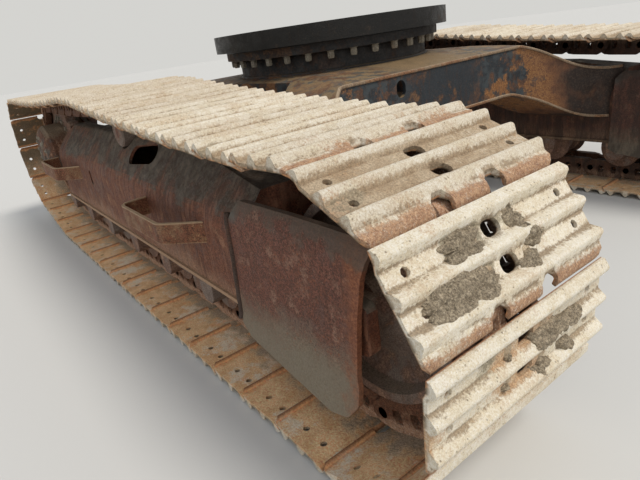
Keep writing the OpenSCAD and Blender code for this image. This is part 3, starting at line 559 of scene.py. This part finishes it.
def car_body_finish():
    """Dark blue-grey paint on the middle, made darker still as painted shade, orange rust over the bend of
    each leg, near-black painted shade at its far end, and oily black, darkened further as painted shade, on
    all that stands over the deck."""
    f = Finish("blue_grey_body")
    # The blue-grey paint is set darker than its own colour, as painted shade over the whole body
    colour, gloss, bump = worn(f, (0.024, 0.029, 0.034), (0.11, 0.05, 0.026), (0.21, 0.14, 0.07), 0.34, 0.9,
                               (0.17, 0.092, 0.044), 0.0015, 0.62, 11.0, speckle=0.5)
    out = f.aside()
    broad, fine, grain = f.clouds(7.5, 6, 0.62), f.clouds(120, 6, 0.75), f.clouds(330, 4, 0.75)
    faded = f.between(f.clouds(19, 6, 0.68, f.shifted(5, 5, 5), 0.3), 0.46, 0.56)
    colour = f.mix(f.times(faded, f.between(out, 0.14, 0.3, 0, 0.8)), colour, (0.046, 0.056, 0.06))
    brown = f.tinted((0.06, 0.03, 0.02), (0.135, 0.066, 0.034), fine, 0.4, 0.6)
    flaked = f.between(f.clouds(12, 6, 0.7), 0.5, 0.58)
    colour = f.mix(f.times(flaked, f.between(out, 0.1, 0.34, 0, 0.9)), colour, brown)
    rust = f.tinted((0.11, 0.043, 0.021), (0.24, 0.11, 0.04), fine, 0.4, 0.6)
    rust = f.tinted(rust, (0.36, 0.19, 0.07), grain, 0.5, 0.66)
    bent = f.ragged(out, broad, 0.3, 0.44, 0.56, spread=(0.25, 0.75))
    side = f.between(f.axis(f.normal, 2), 0.3, 0.8, 1, 0.35)
    colour = f.mix(f.times(bent, side), colour, rust)
    # Near black over the deck: oily, and darkened further as painted shade
    oil_and_shade = f.tinted((0.01, 0.009, 0.009), (0.034, 0.026, 0.02), fine, 0.45, 0.62)
    colour = f.tinted(colour, oil_and_shade, f.axis(f.place, 2), 0.7425, 0.7445, 0.72)
    # Darker red-brown, then near black towards each leg's far end: painted shade under the track's top run
    far = f.sum(out, f.between(broad, 0.25, 0.75, -0.09, 0.09))
    colour = f.tinted(colour, (0.085, 0.034, 0.022), far, 0.62, 0.7, 0.55)
    far_end_shade = f.tinted((0.016, 0.011, 0.009), (0.05, 0.033, 0.024), fine, 0.45, 0.65)
    colour = f.tinted(colour, far_end_shade, far, 0.67, 0.79, 0.95)
    return f.done(colour, gloss, bump)


def chain_finish():
    """Dark rusty links, paler and more orange where a number on the mesh says that they face out between the
    shoes, and near black with painted shade on their side towards the machine's middle."""
    f = Finish("rusty_chain")
    colour, gloss, bump = worn(f, (0.08, 0.045, 0.03), (0.165, 0.068, 0.034), (0.3, 0.22, 0.15), 0.85, 0.5,
                               (0.3, 0.18, 0.11), 0.0025, 0.72, 1.3)
    pale = f.tinted((0.25, 0.12, 0.065), (0.5, 0.3, 0.18), f.clouds(120, 6, 0.78), 0.38, 0.6)
    pale = f.tinted(pale, (0.74, 0.67, 0.56), f.clouds(300, 4, 0.8), 0.54, 0.64, 0.8)
    # Painted shade on the links' side towards the middle
    return f.done(f.inward_painted_shade(f.mix(f.number("outer"), colour, pale), 0.97), gloss, bump)


def frame_finish():
    """Rusty red walls, whose roof is grey-brown with dust, whose lip along the floor is rubbed pale, and
    whose inner walls are near black with painted shade.
    """
    f = Finish("rusty_track_frame")
    colour, gloss, bump = worn(f, (0.12, 0.05, 0.031), (0.185, 0.066, 0.034), (0.09, 0.072, 0.052), 0.75, 0.5,
                               (0.31, 0.165, 0.098), 0.0025, 0.72, 4.1,
                               (0.31, 0.09, (0.3, 0.175, 0.105)), 0.7)
    broad, fine = f.clouds(5.5, 6, 0.66, None, 0.5), f.clouds(130, 6, 0.78)
    ran = f.clouds(14, 6, 0.7, f.stretched((5, 1, 0.6), (2, 0, 0)))
    colour = f.tinted(colour, (0.26, 0.125, 0.072), ran, 0.5, 0.62, 0.55)
    colour = f.tinted(colour, (0.07, 0.026, 0.016), ran, 0.47, 0.38, 0.6)
    mottle = f.clouds(24, 6, 0.72, f.shifted(3, 3, 8), 0.3)
    moss = f.tinted((0.04, 0.03, 0.022), (0.12, 0.1, 0.074), fine, 0.4, 0.6)
    moss = f.tinted(moss, (0.092, 0.082, 0.062), broad, 0.47, 0.6, 0.75)
    moss = f.tinted(moss, (0.17, 0.135, 0.1), mottle, 0.5, 0.62, 0.65)
    moss = f.tinted(moss, (0.04, 0.026, 0.019), mottle, 0.49, 0.38, 0.7)
    roof = f.ragged(f.axis(f.normal, 2), broad, 0.3, 0.36, 0.66, 0, 0.88, (0.3, 0.7))
    colour = f.mix(roof, colour, moss)
    lip = f.times(f.between(f.axis(f.place, 2), 0.2365, 0.2385, 1, 0), f.between(fine, 0.36, 0.5, 0.5, 1))
    colour = f.mix(f.times(lip, 0.8), colour, (0.4, 0.255, 0.15))
    # Painted shade on the inner walls
    return f.done(f.inward_painted_shade(colour, 0.86), gloss, bump)


def guard_finish():
    """A rusty plate, grainy all over, with rust spots, dust on its foot and its crown, a redder front edge
    and a grey-green rear top corner, and near black with painted shade on the inner guards."""
    f = Finish("rusty_guard")
    colour, gloss, bump = worn(f, (0.125, 0.06, 0.043), (0.178, 0.07, 0.045), (0.17, 0.14, 0.105), 0.7, 0.5,
                               (0.3, 0.18, 0.125), 0.004, 0.72, 7.7, (0.34, 0.19, (0.25, 0.205, 0.14)), 0.7)
    along, height = f.axis(f.place, 0), f.axis(f.place, 2)
    patch, fine = f.clouds(16, 6, 0.7), f.clouds(150, 6, 0.8)
    grain = f.clouds(240, 5, 0.8, f.shifted(4, 4, 1))
    colour = f.tinted(colour, (0.062, 0.034, 0.024), fine, 0.56, 0.64, 0.7)
    colour = f.tinted(colour, (0.3, 0.11, 0.058), grain, 0.57, 0.64, 0.7)
    spots = f.between(f.cells(88, f.pushed(40, 0.004)), 0.16, 0.36, 1, 0)
    rust = f.tinted((0.058, 0.028, 0.018), (0.235, 0.08, 0.036), patch, 0.48, 0.56)
    colour = f.mix(f.times(spots, f.between(fine, 0.4, 0.54, 0, 0.85)), colour, rust)
    foot = f.ragged(height, patch, 0.03, 0.2, 0.33, 0.75, 0, (0.3, 0.7))
    colour = f.mix(foot, colour, (0.205, 0.172, 0.12))
    red = f.tinted((0.16, 0.052, 0.025), (0.33, 0.125, 0.055), fine, 0.4, 0.6)
    front = f.less(along, f.between(patch, 0.3, 0.7, 0.02, -0.02))
    colour = f.tinted(colour, red, front, 1.425, 1.478, 0.8)
    corner = f.times(f.between(along, 1.035, 1.062, 1, 0), f.between(height, 0.485, 0.512))
    colour = f.mix(f.times(corner, 0.85), colour, (0.1, 0.098, 0.082))
    crown = f.ragged(height, patch, 0.03, 0.505, 0.535, 0, 0.7, (0.3, 0.7))
    # Painted shade on the inner guards
    return f.done(f.inward_painted_shade(f.mix(crown, colour, (0.105, 0.082, 0.06)), 0.99), gloss, bump)


def step_finish():
    """A worn bar, whose upper and lower edges are rubbed bright, with a painted highlight along each."""
    f = Finish("worn_step")
    colour, gloss, bump = worn(f, (0.21, 0.115, 0.058), (0.195, 0.074, 0.036), (0.42, 0.32, 0.18), 0.6, 0.85,
                               (0.34, 0.215, 0.11), 0.0025, 0.72, 2.2, None, 0.8)
    height, fine = f.axis(f.place, 2), f.clouds(140, 6, 0.8)
    rust = f.tinted((0.11, 0.036, 0.02), (0.23, 0.085, 0.04), fine, 0.4, 0.6)
    colour = f.tinted(colour, rust, f.clouds(26, 6, 0.7), 0.5, 0.6, 0.75)
    # Upper edge: rubbed bright, with a painted highlight
    high = f.times(f.between(height, 0.4375, 0.4415), f.between(fine, 0.35, 0.5, 0.45, 1))
    colour = f.mix(f.times(high, 0.85), colour, (0.42, 0.295, 0.18))
    # Lower edge: rubbed bright, with a painted highlight
    low = f.times(f.between(height, 0.3785, 0.3815, 1, 0), f.between(fine, 0.4, 0.56))
    return f.done(f.mix(f.times(low, 0.6), colour, (0.42, 0.29, 0.165)), gloss, bump)


shoe_mud = shoe_finish()
lump_mud = damp_mud()
chain_steel = chain_finish()
frame_paint = frame_finish()
guard_paint = guard_finish()
step_steel = step_finish()
body_paint = car_body_finish()
wheel_steel = weathered("rusty_wheels", (0.2, 0.15, 0.12), (0.23, 0.135, 0.095), (0.3, 0.24, 0.18), 0.6, 0.7,
                        seed=5.5)
drive_paint = weathered("dusty_drive", (0.085, 0.07, 0.055), (0.15, 0.065, 0.036), (0.24, 0.19, 0.13), 0.5,
                        0.8, seed=9.1)
# Near-black slewing ring: grease, made darker still as painted shade
race_steel = weathered("greasy_ring_painted_shade", (0.0085, 0.008, 0.0075), (0.03, 0.02, 0.014), (0.04, 0.034, 0.028),
                       0.35, 0.5, (0.05, 0.038, 0.026), gloss=0.45, seed=3.3, metallic=0.2)
bolt_steel = weathered("pale_bolts", (0.27, 0.24, 0.185), (0.2, 0.13, 0.08), (0.34, 0.3, 0.24), 0.3, 0.7,
                       (0.45, 0.39, 0.3), gloss=0.6, seed=6.0, metallic=0.1)
# Pale brown for the plate edges
edge_steel = weathered("pale_plate_edge", (0.235, 0.165, 0.105), (0.24, 0.115, 0.055), (0.33, 0.25, 0.165),
                       0.5, 0.7, (0.38, 0.27, 0.165), deep=0.001, seed=8.3)
# Dark brown for the guard welds
dark_weld = weathered("dark_weld", (0.06, 0.038, 0.028), (0.1, 0.048, 0.03), (0.125, 0.095, 0.07), 0.5, 0.5,
                       (0.15, 0.09, 0.06), deep=0.001, seed=1.9)

by_slot = {"body_paint": body_paint, "frame_paint": frame_paint, "guard_paint": guard_paint,
           "step_steel": step_steel, "track_steel": shoe_mud, "wheel_steel": wheel_steel,
           "drive_paint": drive_paint, "race_steel": race_steel}
slot_of = {row["node"]: row["material_slot"] for row in frame["record"]["subparts"]}
for name, node in frame["nodes"].items():
    node.data.materials.clear()
    node.data.materials.append(by_slot[slot_of[name]])

# Shoes: u runs across a shoe from pin to pin, y along it, v outward. Millimetres.
SHOE_TOP = np.array([(8, 57.5), (21, 69.3), (24, 71), (28, 71), (31, 69.3), (44, 51), (74, 51), (87, 69.3),
                     (90, 71), (94, 71), (97, 69.3), (110, 51), (140, 51), (153.5, 69.3), (156.5, 71),
                     (160.5, 71), (163.5, 69.3), (175.5, 51.5), (190, 49.5), (200, 43.5), (204, 35)])
SHOE_UNDER = np.array([(8, 51), (31, 49), (44, 42), (175.5, 42), (190, 40.5), (197, 36), (199, 32)])
U_LINES = np.array([8, 21, 24, 28, 31, 44, 50, 59, 68, 74, 87, 90, 94, 97, 110, 116, 125, 134, 140, 153.5,
                    156.5, 160.5, 163.5, 175.5, 190, 200, 204])
Y_HALF = np.array([0, 14, 22.5, 34, 46, 58, 82, 94, 112, 130, 150, 170, 188, 195, 204, 213, 222, 237, 250])
Y_LINES = np.concatenate([-Y_HALF[:0:-1], Y_HALF])
TROUGHS, PAD_Y, PAD_R = (59.0, 125.0), 204.0, 9
MUD_HALF_U, MUD_HALF_Y = 15, 22.5
LIP_U, NOTCH_Y, NOTCH_HALF = 175.5, 70.0, 24
CRUST_TOP = 70.8


def shoe_grid():
    """Grid lines across and along a shoe, bent into round pad holes, oblong mud holes, arched notches in
    the lip and cut corners, with the cells that stay."""
    u, y = np.meshgrid(U_LINES, Y_LINES, indexing="ij")
    s, e = np.sign(y), np.abs(y)
    for centre in TROUGHS:
        du, dy = u - centre, e - PAD_Y
        ring = np.isclose(np.maximum(np.abs(du), np.abs(dy)), PAD_R)
        k = np.where(ring, PAD_R / np.maximum(np.hypot(du, dy), 1), 1)
        u, e = np.where(ring, centre + du * k, u), np.where(ring, PAD_Y + dy * k, e)
        side = np.isclose(np.abs(u - centre), MUD_HALF_U)
        end = np.isclose(e, MUD_HALF_Y) & (np.abs(u - centre) < MUD_HALF_U + 1)
        drawn_in = np.where(side & end, 0.77, np.where(end & ~side, 0.62, 1.0))
        u = np.where(end, centre + (u - centre) * drawn_in, u)
        e = np.where(side & end, 18.8, np.where(side & np.isclose(e, 14), 10.5, e))
    off_notch = np.abs(e - NOTCH_Y)
    arch = np.isclose(u, LIP_U) & (off_notch < NOTCH_HALF + 1)
    u = np.where(arch, u - 5 + 15 * (off_notch / NOTCH_HALF) ** 3, u)
    e = np.minimum(e, Y_HALF[-1] - np.clip(u - 189, 0, 20))
    mid_u, mid_y = (U_LINES[1:] + U_LINES[:-1]) / 2, np.abs(Y_LINES[1:] + Y_LINES[:-1]) / 2
    keep = np.ones((len(mid_u), len(mid_y)), bool)
    for centre in TROUGHS:
        keep &= ~np.outer(np.abs(mid_u - centre) < PAD_R, np.abs(mid_y - PAD_Y) < PAD_R)
        keep &= ~np.outer(np.abs(mid_u - centre) < MUD_HALF_U, mid_y < MUD_HALF_Y)
    keep &= ~np.outer(mid_u > LIP_U, np.abs(mid_y - NOTCH_Y) < NOTCH_HALF)
    return u, s * e, keep


def shoes(side):
    """All the shoes of a track. Each is a grid, whose height is the shoe's outline, plus dried mud that a
    slow noise heaps between the grousers and a bell curve gathers at their feet, less what noises wear off
    tips and ends."""
    u, y, keep = shoe_grid()
    count, seed = len(pins), 11 if side > 0 else 47
    each = np.arange(count)
    v_top, v_low = np.interp(u, *SHOE_TOP.T), np.interp(u, *SHOE_UNDER.T)
    where = np.stack([u, y, np.zeros_like(u)], -1)[None] + np.array([0, 0, 500.0]) * each[:, None, None, None]
    caked = np.clip(rough(where, 90, seed) + 0.25, 0, 1) * smooth(GROUSER_TOP - v_top, 0, 12) * 3.2
    caked = caked * (1 - smooth(u, 180, 200))
    root = np.exp(-((v_top - 54) / 4) ** 2) * 1.6 * noise(where, 45, seed + 5)
    broad_wear, fine_wear = noise(where, 120, seed + 9), noise(where, 24, seed + 3)
    rubbed_off = smooth(v_top, 66, 71) * (0.3 + 1.6 * broad_wear + 0.7 * fine_wear)
    edge = smooth(np.abs(y), 225, 250) * 1.5 * noise(where, 30, seed + 4)
    height = v_top + caked + root - rubbed_off - edge
    wavy = rough(where, 60, seed + 20)
    across = np.broadcast_to(y, height.shape)
    top = np.stack([u + wavy * (u < 190), across, np.minimum(height, CRUST_TOP)], -1)
    top[..., 1] += np.where(np.abs(y) > 240, -np.sign(y) * 2.2 * noise(where, 18, seed + 7), 0)
    bottom = np.broadcast_to(np.stack([u, y, v_low], -1), top.shape).copy()
    bottom[..., 0] = np.minimum(bottom[..., 0], np.interp(u, [190, 204], [190, 199.5]))
    bottom[..., 1] = np.where(np.abs(y) > 240, top[..., 1], bottom[..., 1])
    _, quads, used = slab(top[0], bottom[0], keep)
    local = np.concatenate([top.reshape(count, -1, 3), bottom.reshape(count, -1, 3)], 1)[:, used]

    def on_both(over, under=None):
        """A number at each kept point, from a grid for the outer face and, if it differs, the inner."""
        grids = over, over if under is None else under
        sheets = [np.broadcast_to(grid, height.shape).reshape(count, -1) for grid in grids]
        return np.concatenate(sheets, 1)[:, used].ravel()

    lip = 1.1 * smooth(u, 168, 192) * (0.6 + 0.75 * noise(where, 50, seed + 1))
    scraped = 0.5 * smooth(rough(where, 120, seed + 30), 0.15, 0.5)
    bare = np.clip(lip + scraped, 0, 1)
    # Painted shade in the creases at each grouser's foot, on the outer face
    feet = sum(np.exp(-((u - c) / 6.5) ** 2) for c in (44, 74, 110, 140, 173))
    feet = feet * (0.55 + 0.9 * noise(where, 45, seed + 2))
    seam = smooth(u, 186, 200) + smooth(-u, -24, -10)
    silt = smooth(rough(where, 110, seed + 40), 0.02, 0.3) * smooth(62 - v_top, 0, 8) * (u > 30) * (u < 160)
    # Brownness of each shoe: a random share, plus painted shadow that grows towards the rear; none on links 1
    # to 3
    brown = 0.32 + lattice(np.stack([each] * 3, -1), seed) * 0.38 + 0.4 * smooth(-pins[:, 0], -600, 1200)
    brown = np.where((each > 0) & (each < 4), 0.0, brown)[:, None, None]
    deep = smooth(64 - v_top, 0, 9) * (u > 26) * (u < 168) * (0.35 + 0.9 * noise(where, 140, seed + 60))
    deep = deep * np.where(brown > 0, 1.15, 0.02)
    ochre = smooth(rough(where, 150, seed + 50), -0.05, 0.28) * smooth(63 - v_top, 0, 8)
    ochre = ochre * (u > 30) * (u < 165)
    ochre = ochre * np.where((each >= 2) & (each < 7), 1.0, 0.45)[:, None, None] + 0.5 * smooth(u, 160, 190)
    numbers = {"deep": on_both(deep), "ochre": on_both(ochre), "corner": on_both(feet, seam),
               "silt": on_both(silt), "bare": on_both(bare), "inner": on_both(0.0, 1.0),
               "tone_and_shadow": on_both(brown)}
    name = SIDES[side]
    piece("shoes_" + name, *repeated(quads, carried(local, side)), shoe_mud, "track_steel",
          ("track_" + name,), sharp=40, values=numbers)


# Mud on the near track: link, middle across and along the shoe, and half its size each way
LUMPS = ((1, 66, -79, 25, 46), (1, 126, -152, 24, 64), (1, 130, -84, 25, 58), (1, 66, 59, 26, 19),
         (1, 103, 80, 15, 27), (1, 137, 50, 17, 27), (2, 78, 48, 19, 44), (2, 80, 112, 16, 48),
         (2, 137, 126, 13, 24), (2, 142, 42, 15, 26), (2, 72, -57, 7, 10), (2, 131, -62, 7, 10))


def lumps(side):
    """Mud lumps: an outline turned about its middle, whose edge swells with a slow noise, raised over the
    shoe's own outline by the square root of what is left to the edge and roughened by fine noise."""
    share = np.concatenate([[0.004], np.sqrt(np.linspace(1, 0.000016, 30))])
    shape, quads = revolved(np.stack([share, np.zeros_like(share)], 1)[::-1], 64)
    under = np.tile(np.arange(len(share))[::-1] == 0, 64)
    reach = np.hypot(shape[:, 0], shape[:, 2])
    aim = np.stack([shape[:, 0], shape[:, 2]], -1) / reach[:, None]
    made = []
    for k, (link, mid_u, mid_y, half_u, half_y) in enumerate(LUMPS):
        round_it = np.concatenate([aim, np.full((len(aim), 1), 3.0 * k)], 1)
        edge = 1 + 0.75 * rough(round_it, 0.75, 60) + 0.22 * rough(round_it, 0.22, 65)
        u, y = mid_u + half_u * edge * shape[:, 0], mid_y + half_y * edge * shape[:, 2]
        base = np.interp(u, *SHOE_TOP.T)
        spot = np.stack([u, y, np.full_like(u, 40.0 * k)], -1)
        rise = np.sqrt(np.clip(1 - reach ** 2, 0, 1)) * min(9 + 0.06 * half_y, 14)
        grain = (rough(spot, 16, 70) * 7 + rough(spot, 6, 80) * 4) * np.clip(1 - reach ** 6, 0, 1)
        over = base * 0.55 + 53.5 * 0.45 + rise - 0.5 + grain
        v = np.where((reach > 0.999) | under, base - 4, over)
        made.append((carried(np.stack([u, y, np.minimum(v, CRUST_TOP)], -1), side, [link])[0], quads))
    piece("mud_lumps", *joined(*made), lump_mud, "track_steel", sharp=60)


# Chain: places along a link's plate, its reach under and over its pins there, and shares of that height
LINK_U = np.array([-33, -28, -17, 0, 14, 30, 45, 60, 75, 90, 105, 120, 135, 146, 158, PITCH, 188, 199, 204.4])
LINK_LOW = [0, 17.5, 28.3, 34] + [RAIL] * 11 + [34, 28.3, 17.5, 0]
LINK_HIGH = [0, 17.5, 28.3, 33, 35] + [41.7] * 9 + [37, 33, 28.3, 17.5, 0]
LINK_T = np.array([0, 0.15, 0.33, 0.53, 0.74, 0.88, 1])
WINDOWS, WINDOW_HALF, WINDOW_T = (60.0, 120.0), 15, (0.33, 0.74)
# A turned outline ends this near its axis, so that its ends are closed
AXLE = 0.01
BUSHING = [(23.5, -36), (24, -34), (24, 34), (23.5, 36), (AXLE, 36), (AXLE, -36)]


def links(side):
    """Link plates: a grid from the rail up to the shoe's seat, with two windows, whose faces step outward
    from the bushing's end to the pin's end. Bushings and pins are outlines turned about the pins."""
    u, t = np.meshgrid(LINK_U, LINK_T, indexing="ij")
    low, high = np.interp(u, LINK_U, LINK_LOW), np.interp(u, LINK_U, LINK_HIGH)
    v = -low + t * (low + high)
    mid_u, mid_t = (LINK_U[1:] + LINK_U[:-1]) / 2, (LINK_T[1:] + LINK_T[:-1]) / 2
    keep = np.ones((len(mid_u), len(mid_t)), bool)
    for centre in WINDOWS:
        ends = np.isclose(t, WINDOW_T[0]) | np.isclose(t, WINDOW_T[1])
        corner = np.isclose(np.abs(u - centre), WINDOW_HALF) & ends
        u = np.where(corner, centre + (u - centre) * 0.72, u)
        keep &= ~np.outer(np.abs(mid_u - centre) < WINDOW_HALF, (mid_t > WINDOW_T[0]) & (mid_t < WINDOW_T[1]))
    outer_y = 53.5 + 15.5 * smooth(u, 18, 46)
    inner_y = 36 + 18 * smooth(u, 118, 148)
    parts = []
    for hand in (-1, 1):
        faces = [np.stack([u, hand * w, v], -1) for w in (outer_y, inner_y)]
        top, bottom = faces if hand < 0 else faces[::-1]
        parts.append(slab(top, bottom, keep)[:2])
    parts.append(revolved(BUSHING[::-1], 16))
    for hand in (-1, 1):
        end = [(AXLE, 50 * hand), (16, 50 * hand), (16, 68.5 * hand), (14.5, 69 * hand), (AXLE, 69 * hand)]
        parts.append(revolved(end if hand < 0 else end[::-1], 12))
    local, quads = joined(*parts)
    name = SIDES[side]
    outer = np.tile(smooth(local[:, 2], 6, 24), len(pins))
    piece("chain_" + name, *repeated(quads, carried(local, side)), chain_steel, "track_steel",
          ("track_" + name,), sharp=30, values={"outer": outer})


def shoe_bolts(side):
    """Four bolts in each shoe: a low six-sided head sunk in the mud, and a nut in the link's window, each
    an outline turned about the bolt and repeated on every link."""
    head = revolved([(AXLE, 48), (12, 48), (12, 52.3), (10, 53.2), (AXLE, 53.2)], 6)
    nut = revolved([(AXLE, 9), (9, 9), (9, 12), (13.5, 12), (13.5, 22), (AXLE, 22)], 6)
    for title, (local, quads), finish in (("heads", head, shoe_mud), ("nuts", nut, chain_steel)):
        local, quads = outside_out(local[:, [0, 2, 1]], quads)
        four = ((local + (mid_u, mid_y, 0), quads) for mid_u in WINDOWS for mid_y in (-52.5, 52.5))
        local, quads = joined(*four)
        piece("shoe_bolt_%s_%s" % (title, SIDES[side]), *repeated(quads, carried(local, side)), finish,
              "track_steel", sharp=30, values={"deep": np.full(len(local) * len(pins), 0.75)})


# Edges, welds and bolts, in metres
def leg_drop(y):
    """How far a leg has fallen at a distance from the middle: an arc down, a straight fall, an arc back to
    level."""
    e, foot_y = np.abs(y), LEG_END_Y - LEG_FOOT
    lean = math.sin(LEG_SLOPE)
    first = np.arcsin(np.clip((e - BEND_Y) / BEND_R, 0, lean))
    last = np.arcsin(np.clip((foot_y - e) / FOOT_R, 0, lean))
    fall = np.clip(e, BEND_Y + BEND_R * lean, foot_y - FOOT_R * lean) - BEND_Y - BEND_R * lean
    level = FOOT_R * (np.cos(last) - math.cos(LEG_SLOPE))
    return BEND_R * (1 - np.cos(first)) + fall * math.tan(LEG_SLOPE) + level


def plate_edges():
    """The edges of the car body's top and bottom plates, which stand a little proud of its walls: a small
    outline carried along each wall's foot and brow, out along the legs to the track frames."""
    shape = ((-0.004, -0.0005), (0.004, -0.0005), (0.006, 0.002), (0.006, 0.009), (0.004, 0.011),
             (-0.004, 0.011))
    made = []
    for face in (-1, 1):
        for low, end in ((True, 0.848), (False, 0.882)):
            y = np.linspace(-end, end, 93)
            spread = np.clip(np.abs(y) - KINK_Y, 0, None)
            x = BODY_HALF + spread * (LEG_END_X - BODY_HALF) / (LEG_END_Y - KINK_Y)
            brow = np.minimum(DECK_Z - leg_drop(y), BROW_Z - 0.2 * (x - BODY_HALF))
            path = np.stack([SLEW_X + face * x, y, BELLY_Z - leg_drop(y) if low else brow], -1)
            run = np.gradient(path[:, :2], axis=0)
            run /= np.linalg.norm(run, axis=1)[:, None]
            out = np.stack([face * run[:, 1], -face * run[:, 0], np.zeros(len(y))], -1)
            up = np.array([0, 0, 1.0 if low else -1.0]) + np.zeros_like(path)
            made.append(swept(shape, path, out, up))
    piece("plate_edges", *joined(*made), edge_steel, "body_paint", sharp=50)


def guard_welds():
    """A weld down each outer guard's rear edge: a round outline, moved to and fro by a fine noise, carried
    down the plate."""
    y, z = np.array(GUARD_RAMP).T
    height = np.linspace(0.222, 0.515, 60)
    away = np.interp(height, z, y)
    made = []
    for side in (-1, 1):
        path = np.stack([np.full(60, GUARD_X + 0.001), side * (TRACK_Y + away - 0.001), height], -1)
        path[:, 1] += side * 0.0012 * rough(path, 0.02, 5)
        out, up = np.tile([1.0, 0, 0], (60, 1)), np.tile([0, side * 1.0, 0], (60, 1))
        made.append(swept(half_round(0.0085), path, out, up))
    piece("guard_welds", *joined(*made), dark_weld, "guard_paint", sharp=60)


def pedestal_welds():
    """Welds round the pedestal's foot and under its flange: a round outline carried round a circle, moved
    in and out by a fine noise."""
    made = []
    for height, size in ((0.744, 0.008), (0.822, 0.006)):
        path, a = around(PEDESTAL_R, 160, height)
        out = np.stack([np.cos(a), np.sin(a), 0 * a], -1)
        path = path + out * 0.0015 * rough(path, 0.03, 9)[:, None]
        made.append(swept(half_round(size), path, out, np.tile([0, 0, 1.0], (160, 1)), True))
    piece("pedestal_welds", *joined(*made), body_paint, "body_paint", sharp=60)


def ring_bolts():
    """Bolts that hold the fixed race: heads in a circle under the pedestal's flange."""
    spots, _ = around(0.474, 32, FLANGE_Z)
    piece("ring_bolts", *heads(spots, (0, 0, -1), 0.0145, 0.031), bolt_steel, "body_paint", sharp=30)


# Bolt circles at the sprocket: radius, count, distance from the track's middle, a head's radius and height
DRIVE_CIRCLES = ((0.19, 20, 0.025, 0.013, 0.011), (0.104, 12, 0.166, 0.009, 0.008),
                 (0.07, 3, 0.166, 0.012, 0.007))


def drive_bolts():
    """Bolt circles on each sprocket and each final drive's cover, with three plugs nearer its middle."""
    centre = (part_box("sprocket_left")[0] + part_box("sprocket_left")[1]) / 2
    made = []
    for side in (-1, 1):
        for radius, count, out, size, tall in DRIVE_CIRCLES:
            a = (np.arange(count) + 0.5) * 2 * math.pi / count
            spots = np.stack([centre.x + radius * np.cos(a), np.full(count, side * (TRACK_Y + out)),
                              SPROCKET_Z / 1000 + radius * np.sin(a)], -1)
            made.append(heads(spots, (0, side, 0), size, tall))
    piece("drive_bolts", *joined(*made), bolt_steel, "wheel_steel", sharp=30)


def belly_bolts():
    """Bolts round the belly plate and the swivel joint's foot."""
    x, y = np.meshgrid([-0.225, 0.0, 0.225], [-0.165, 0.165], indexing="ij")
    under = np.stack([SLEW_X + x.ravel(), y.ravel(), np.full(6, BELLY_Z - 0.012)], -1)
    foot, _ = around(0.109, 8, BELLY_Z + 0.034)
    made = (heads(under, (0, 0, -1), 0.011, 0.009), heads(foot, (0, 0, 1), 0.009, 0.008))
    piece("belly_bolts", *joined(*made), bolt_steel, "frame_paint", sharp=30)


for side in SIDES:
    shoes(side)
    links(side)
    shoe_bolts(side)
lumps(-1)
plate_edges()
guard_welds()
pedestal_welds()
ring_bolts()
drive_bolts()
belly_bolts()

# Camera, light and floor
EYE, LENS_PX, PICTURE_PX, SENSOR_MM = np.array([2.135, -1.673, 0.904]), 512.5, 640, 36
YAW, PITCH_DOWN, ROLL = (math.radians(a) for a in (34.8, 22.09, -8.34))


def placed(right, up, back, spot):
    """The matrix of something that stands on a spot, with its three axes in these directions."""
    return Matrix([[*row] for row in np.column_stack([right, up, back, spot])] + [[0, 0, 0, 1]])


def camera():
    """Looks along a direction given by its turn and dip, with the picture's right and up rolled about
    it."""
    ahead = np.array([-math.cos(YAW) * math.cos(PITCH_DOWN), math.sin(YAW) * math.cos(PITCH_DOWN),
                      -math.sin(PITCH_DOWN)])
    right = np.cross(ahead, [0, 0, 1.0])
    right /= np.linalg.norm(right)
    up = np.cross(right, ahead)
    c, s = math.cos(ROLL), math.sin(ROLL)
    view = bpy.data.cameras.new("view")
    view.sensor_width = SENSOR_MM
    view.lens = SENSOR_MM * LENS_PX / PICTURE_PX
    view.clip_end = 100
    eye = bpy.data.objects.new("view", view)
    eye.matrix_world = placed(c * right + s * up, -s * right + c * up, -ahead, EYE)
    bpy.context.scene.collection.objects.link(eye)
    bpy.context.scene.camera = eye


def pale_floor(half=30):
    """A square on the ground."""
    mesh = bpy.data.meshes.new("floor")
    corners = [(-half, -half, 0), (half, -half, 0), (half, half, 0), (-half, half, 0)]
    mesh.from_pydata(corners, [], [(0, 1, 2, 3)])
    floor = bpy.data.objects.new("floor", mesh)
    bpy.context.scene.collection.objects.link(floor)
    f = Finish("pale_floor")
    grit = f.bumped(f.clouds(40), 0.0005, 0.1)
    mesh.materials.append(f.done((0.62, 0.61, 0.58, 1), 0.9, grit, specular=0.1))


def studio():
    """Soft light from all round, and a plain pale backdrop for what the camera, a gloss or glass sees."""
    f = Finish("studio", world=True)
    seen = f.node("LightPath").outputs
    plainly = f.sum(f.sum(seen["Is Camera Ray"], seen["Is Glossy Ray"]), seen["Is Transmission Ray"])
    sky = f.node("Background", {"Color": (0.86, 0.91, 1.0, 1), "Strength": 0.55}).outputs[0]
    backdrop = f.node("Background", {"Color": (0.66, 0.655, 0.63, 1)}).outputs[0]
    both = f.node("MixShader", {0: plainly, 1: sky, 2: backdrop}).outputs[0]
    f.tree.links.new(both, f.node("OutputWorld").inputs["Surface"])
    bpy.context.scene.world = f.owner


def lamp(name, direction, strength, spread):
    """A broad distant lamp, which shines from this direction."""
    light = bpy.data.lights.new(name, "SUN")
    light.energy, light.angle = strength, math.radians(spread)
    light.color = (1.0, 0.965, 0.91)
    holder = bpy.data.objects.new(name, light)
    bpy.context.scene.collection.objects.link(holder)
    away = np.array(direction) / np.linalg.norm(direction)
    across = np.cross([0, 0, 1.0], away)
    across /= np.linalg.norm(across)
    holder.matrix_world = placed(across, np.cross(away, across), away, away * 5)


camera()
pale_floor()
studio()
lamp("key", (0.66, 0.26, 1.0), 2.2, 20)
lamp("fill", (0.9, -0.8, 0.7), 0.5, 60)

bpy.context.scene.view_settings.view_transform = "Standard"
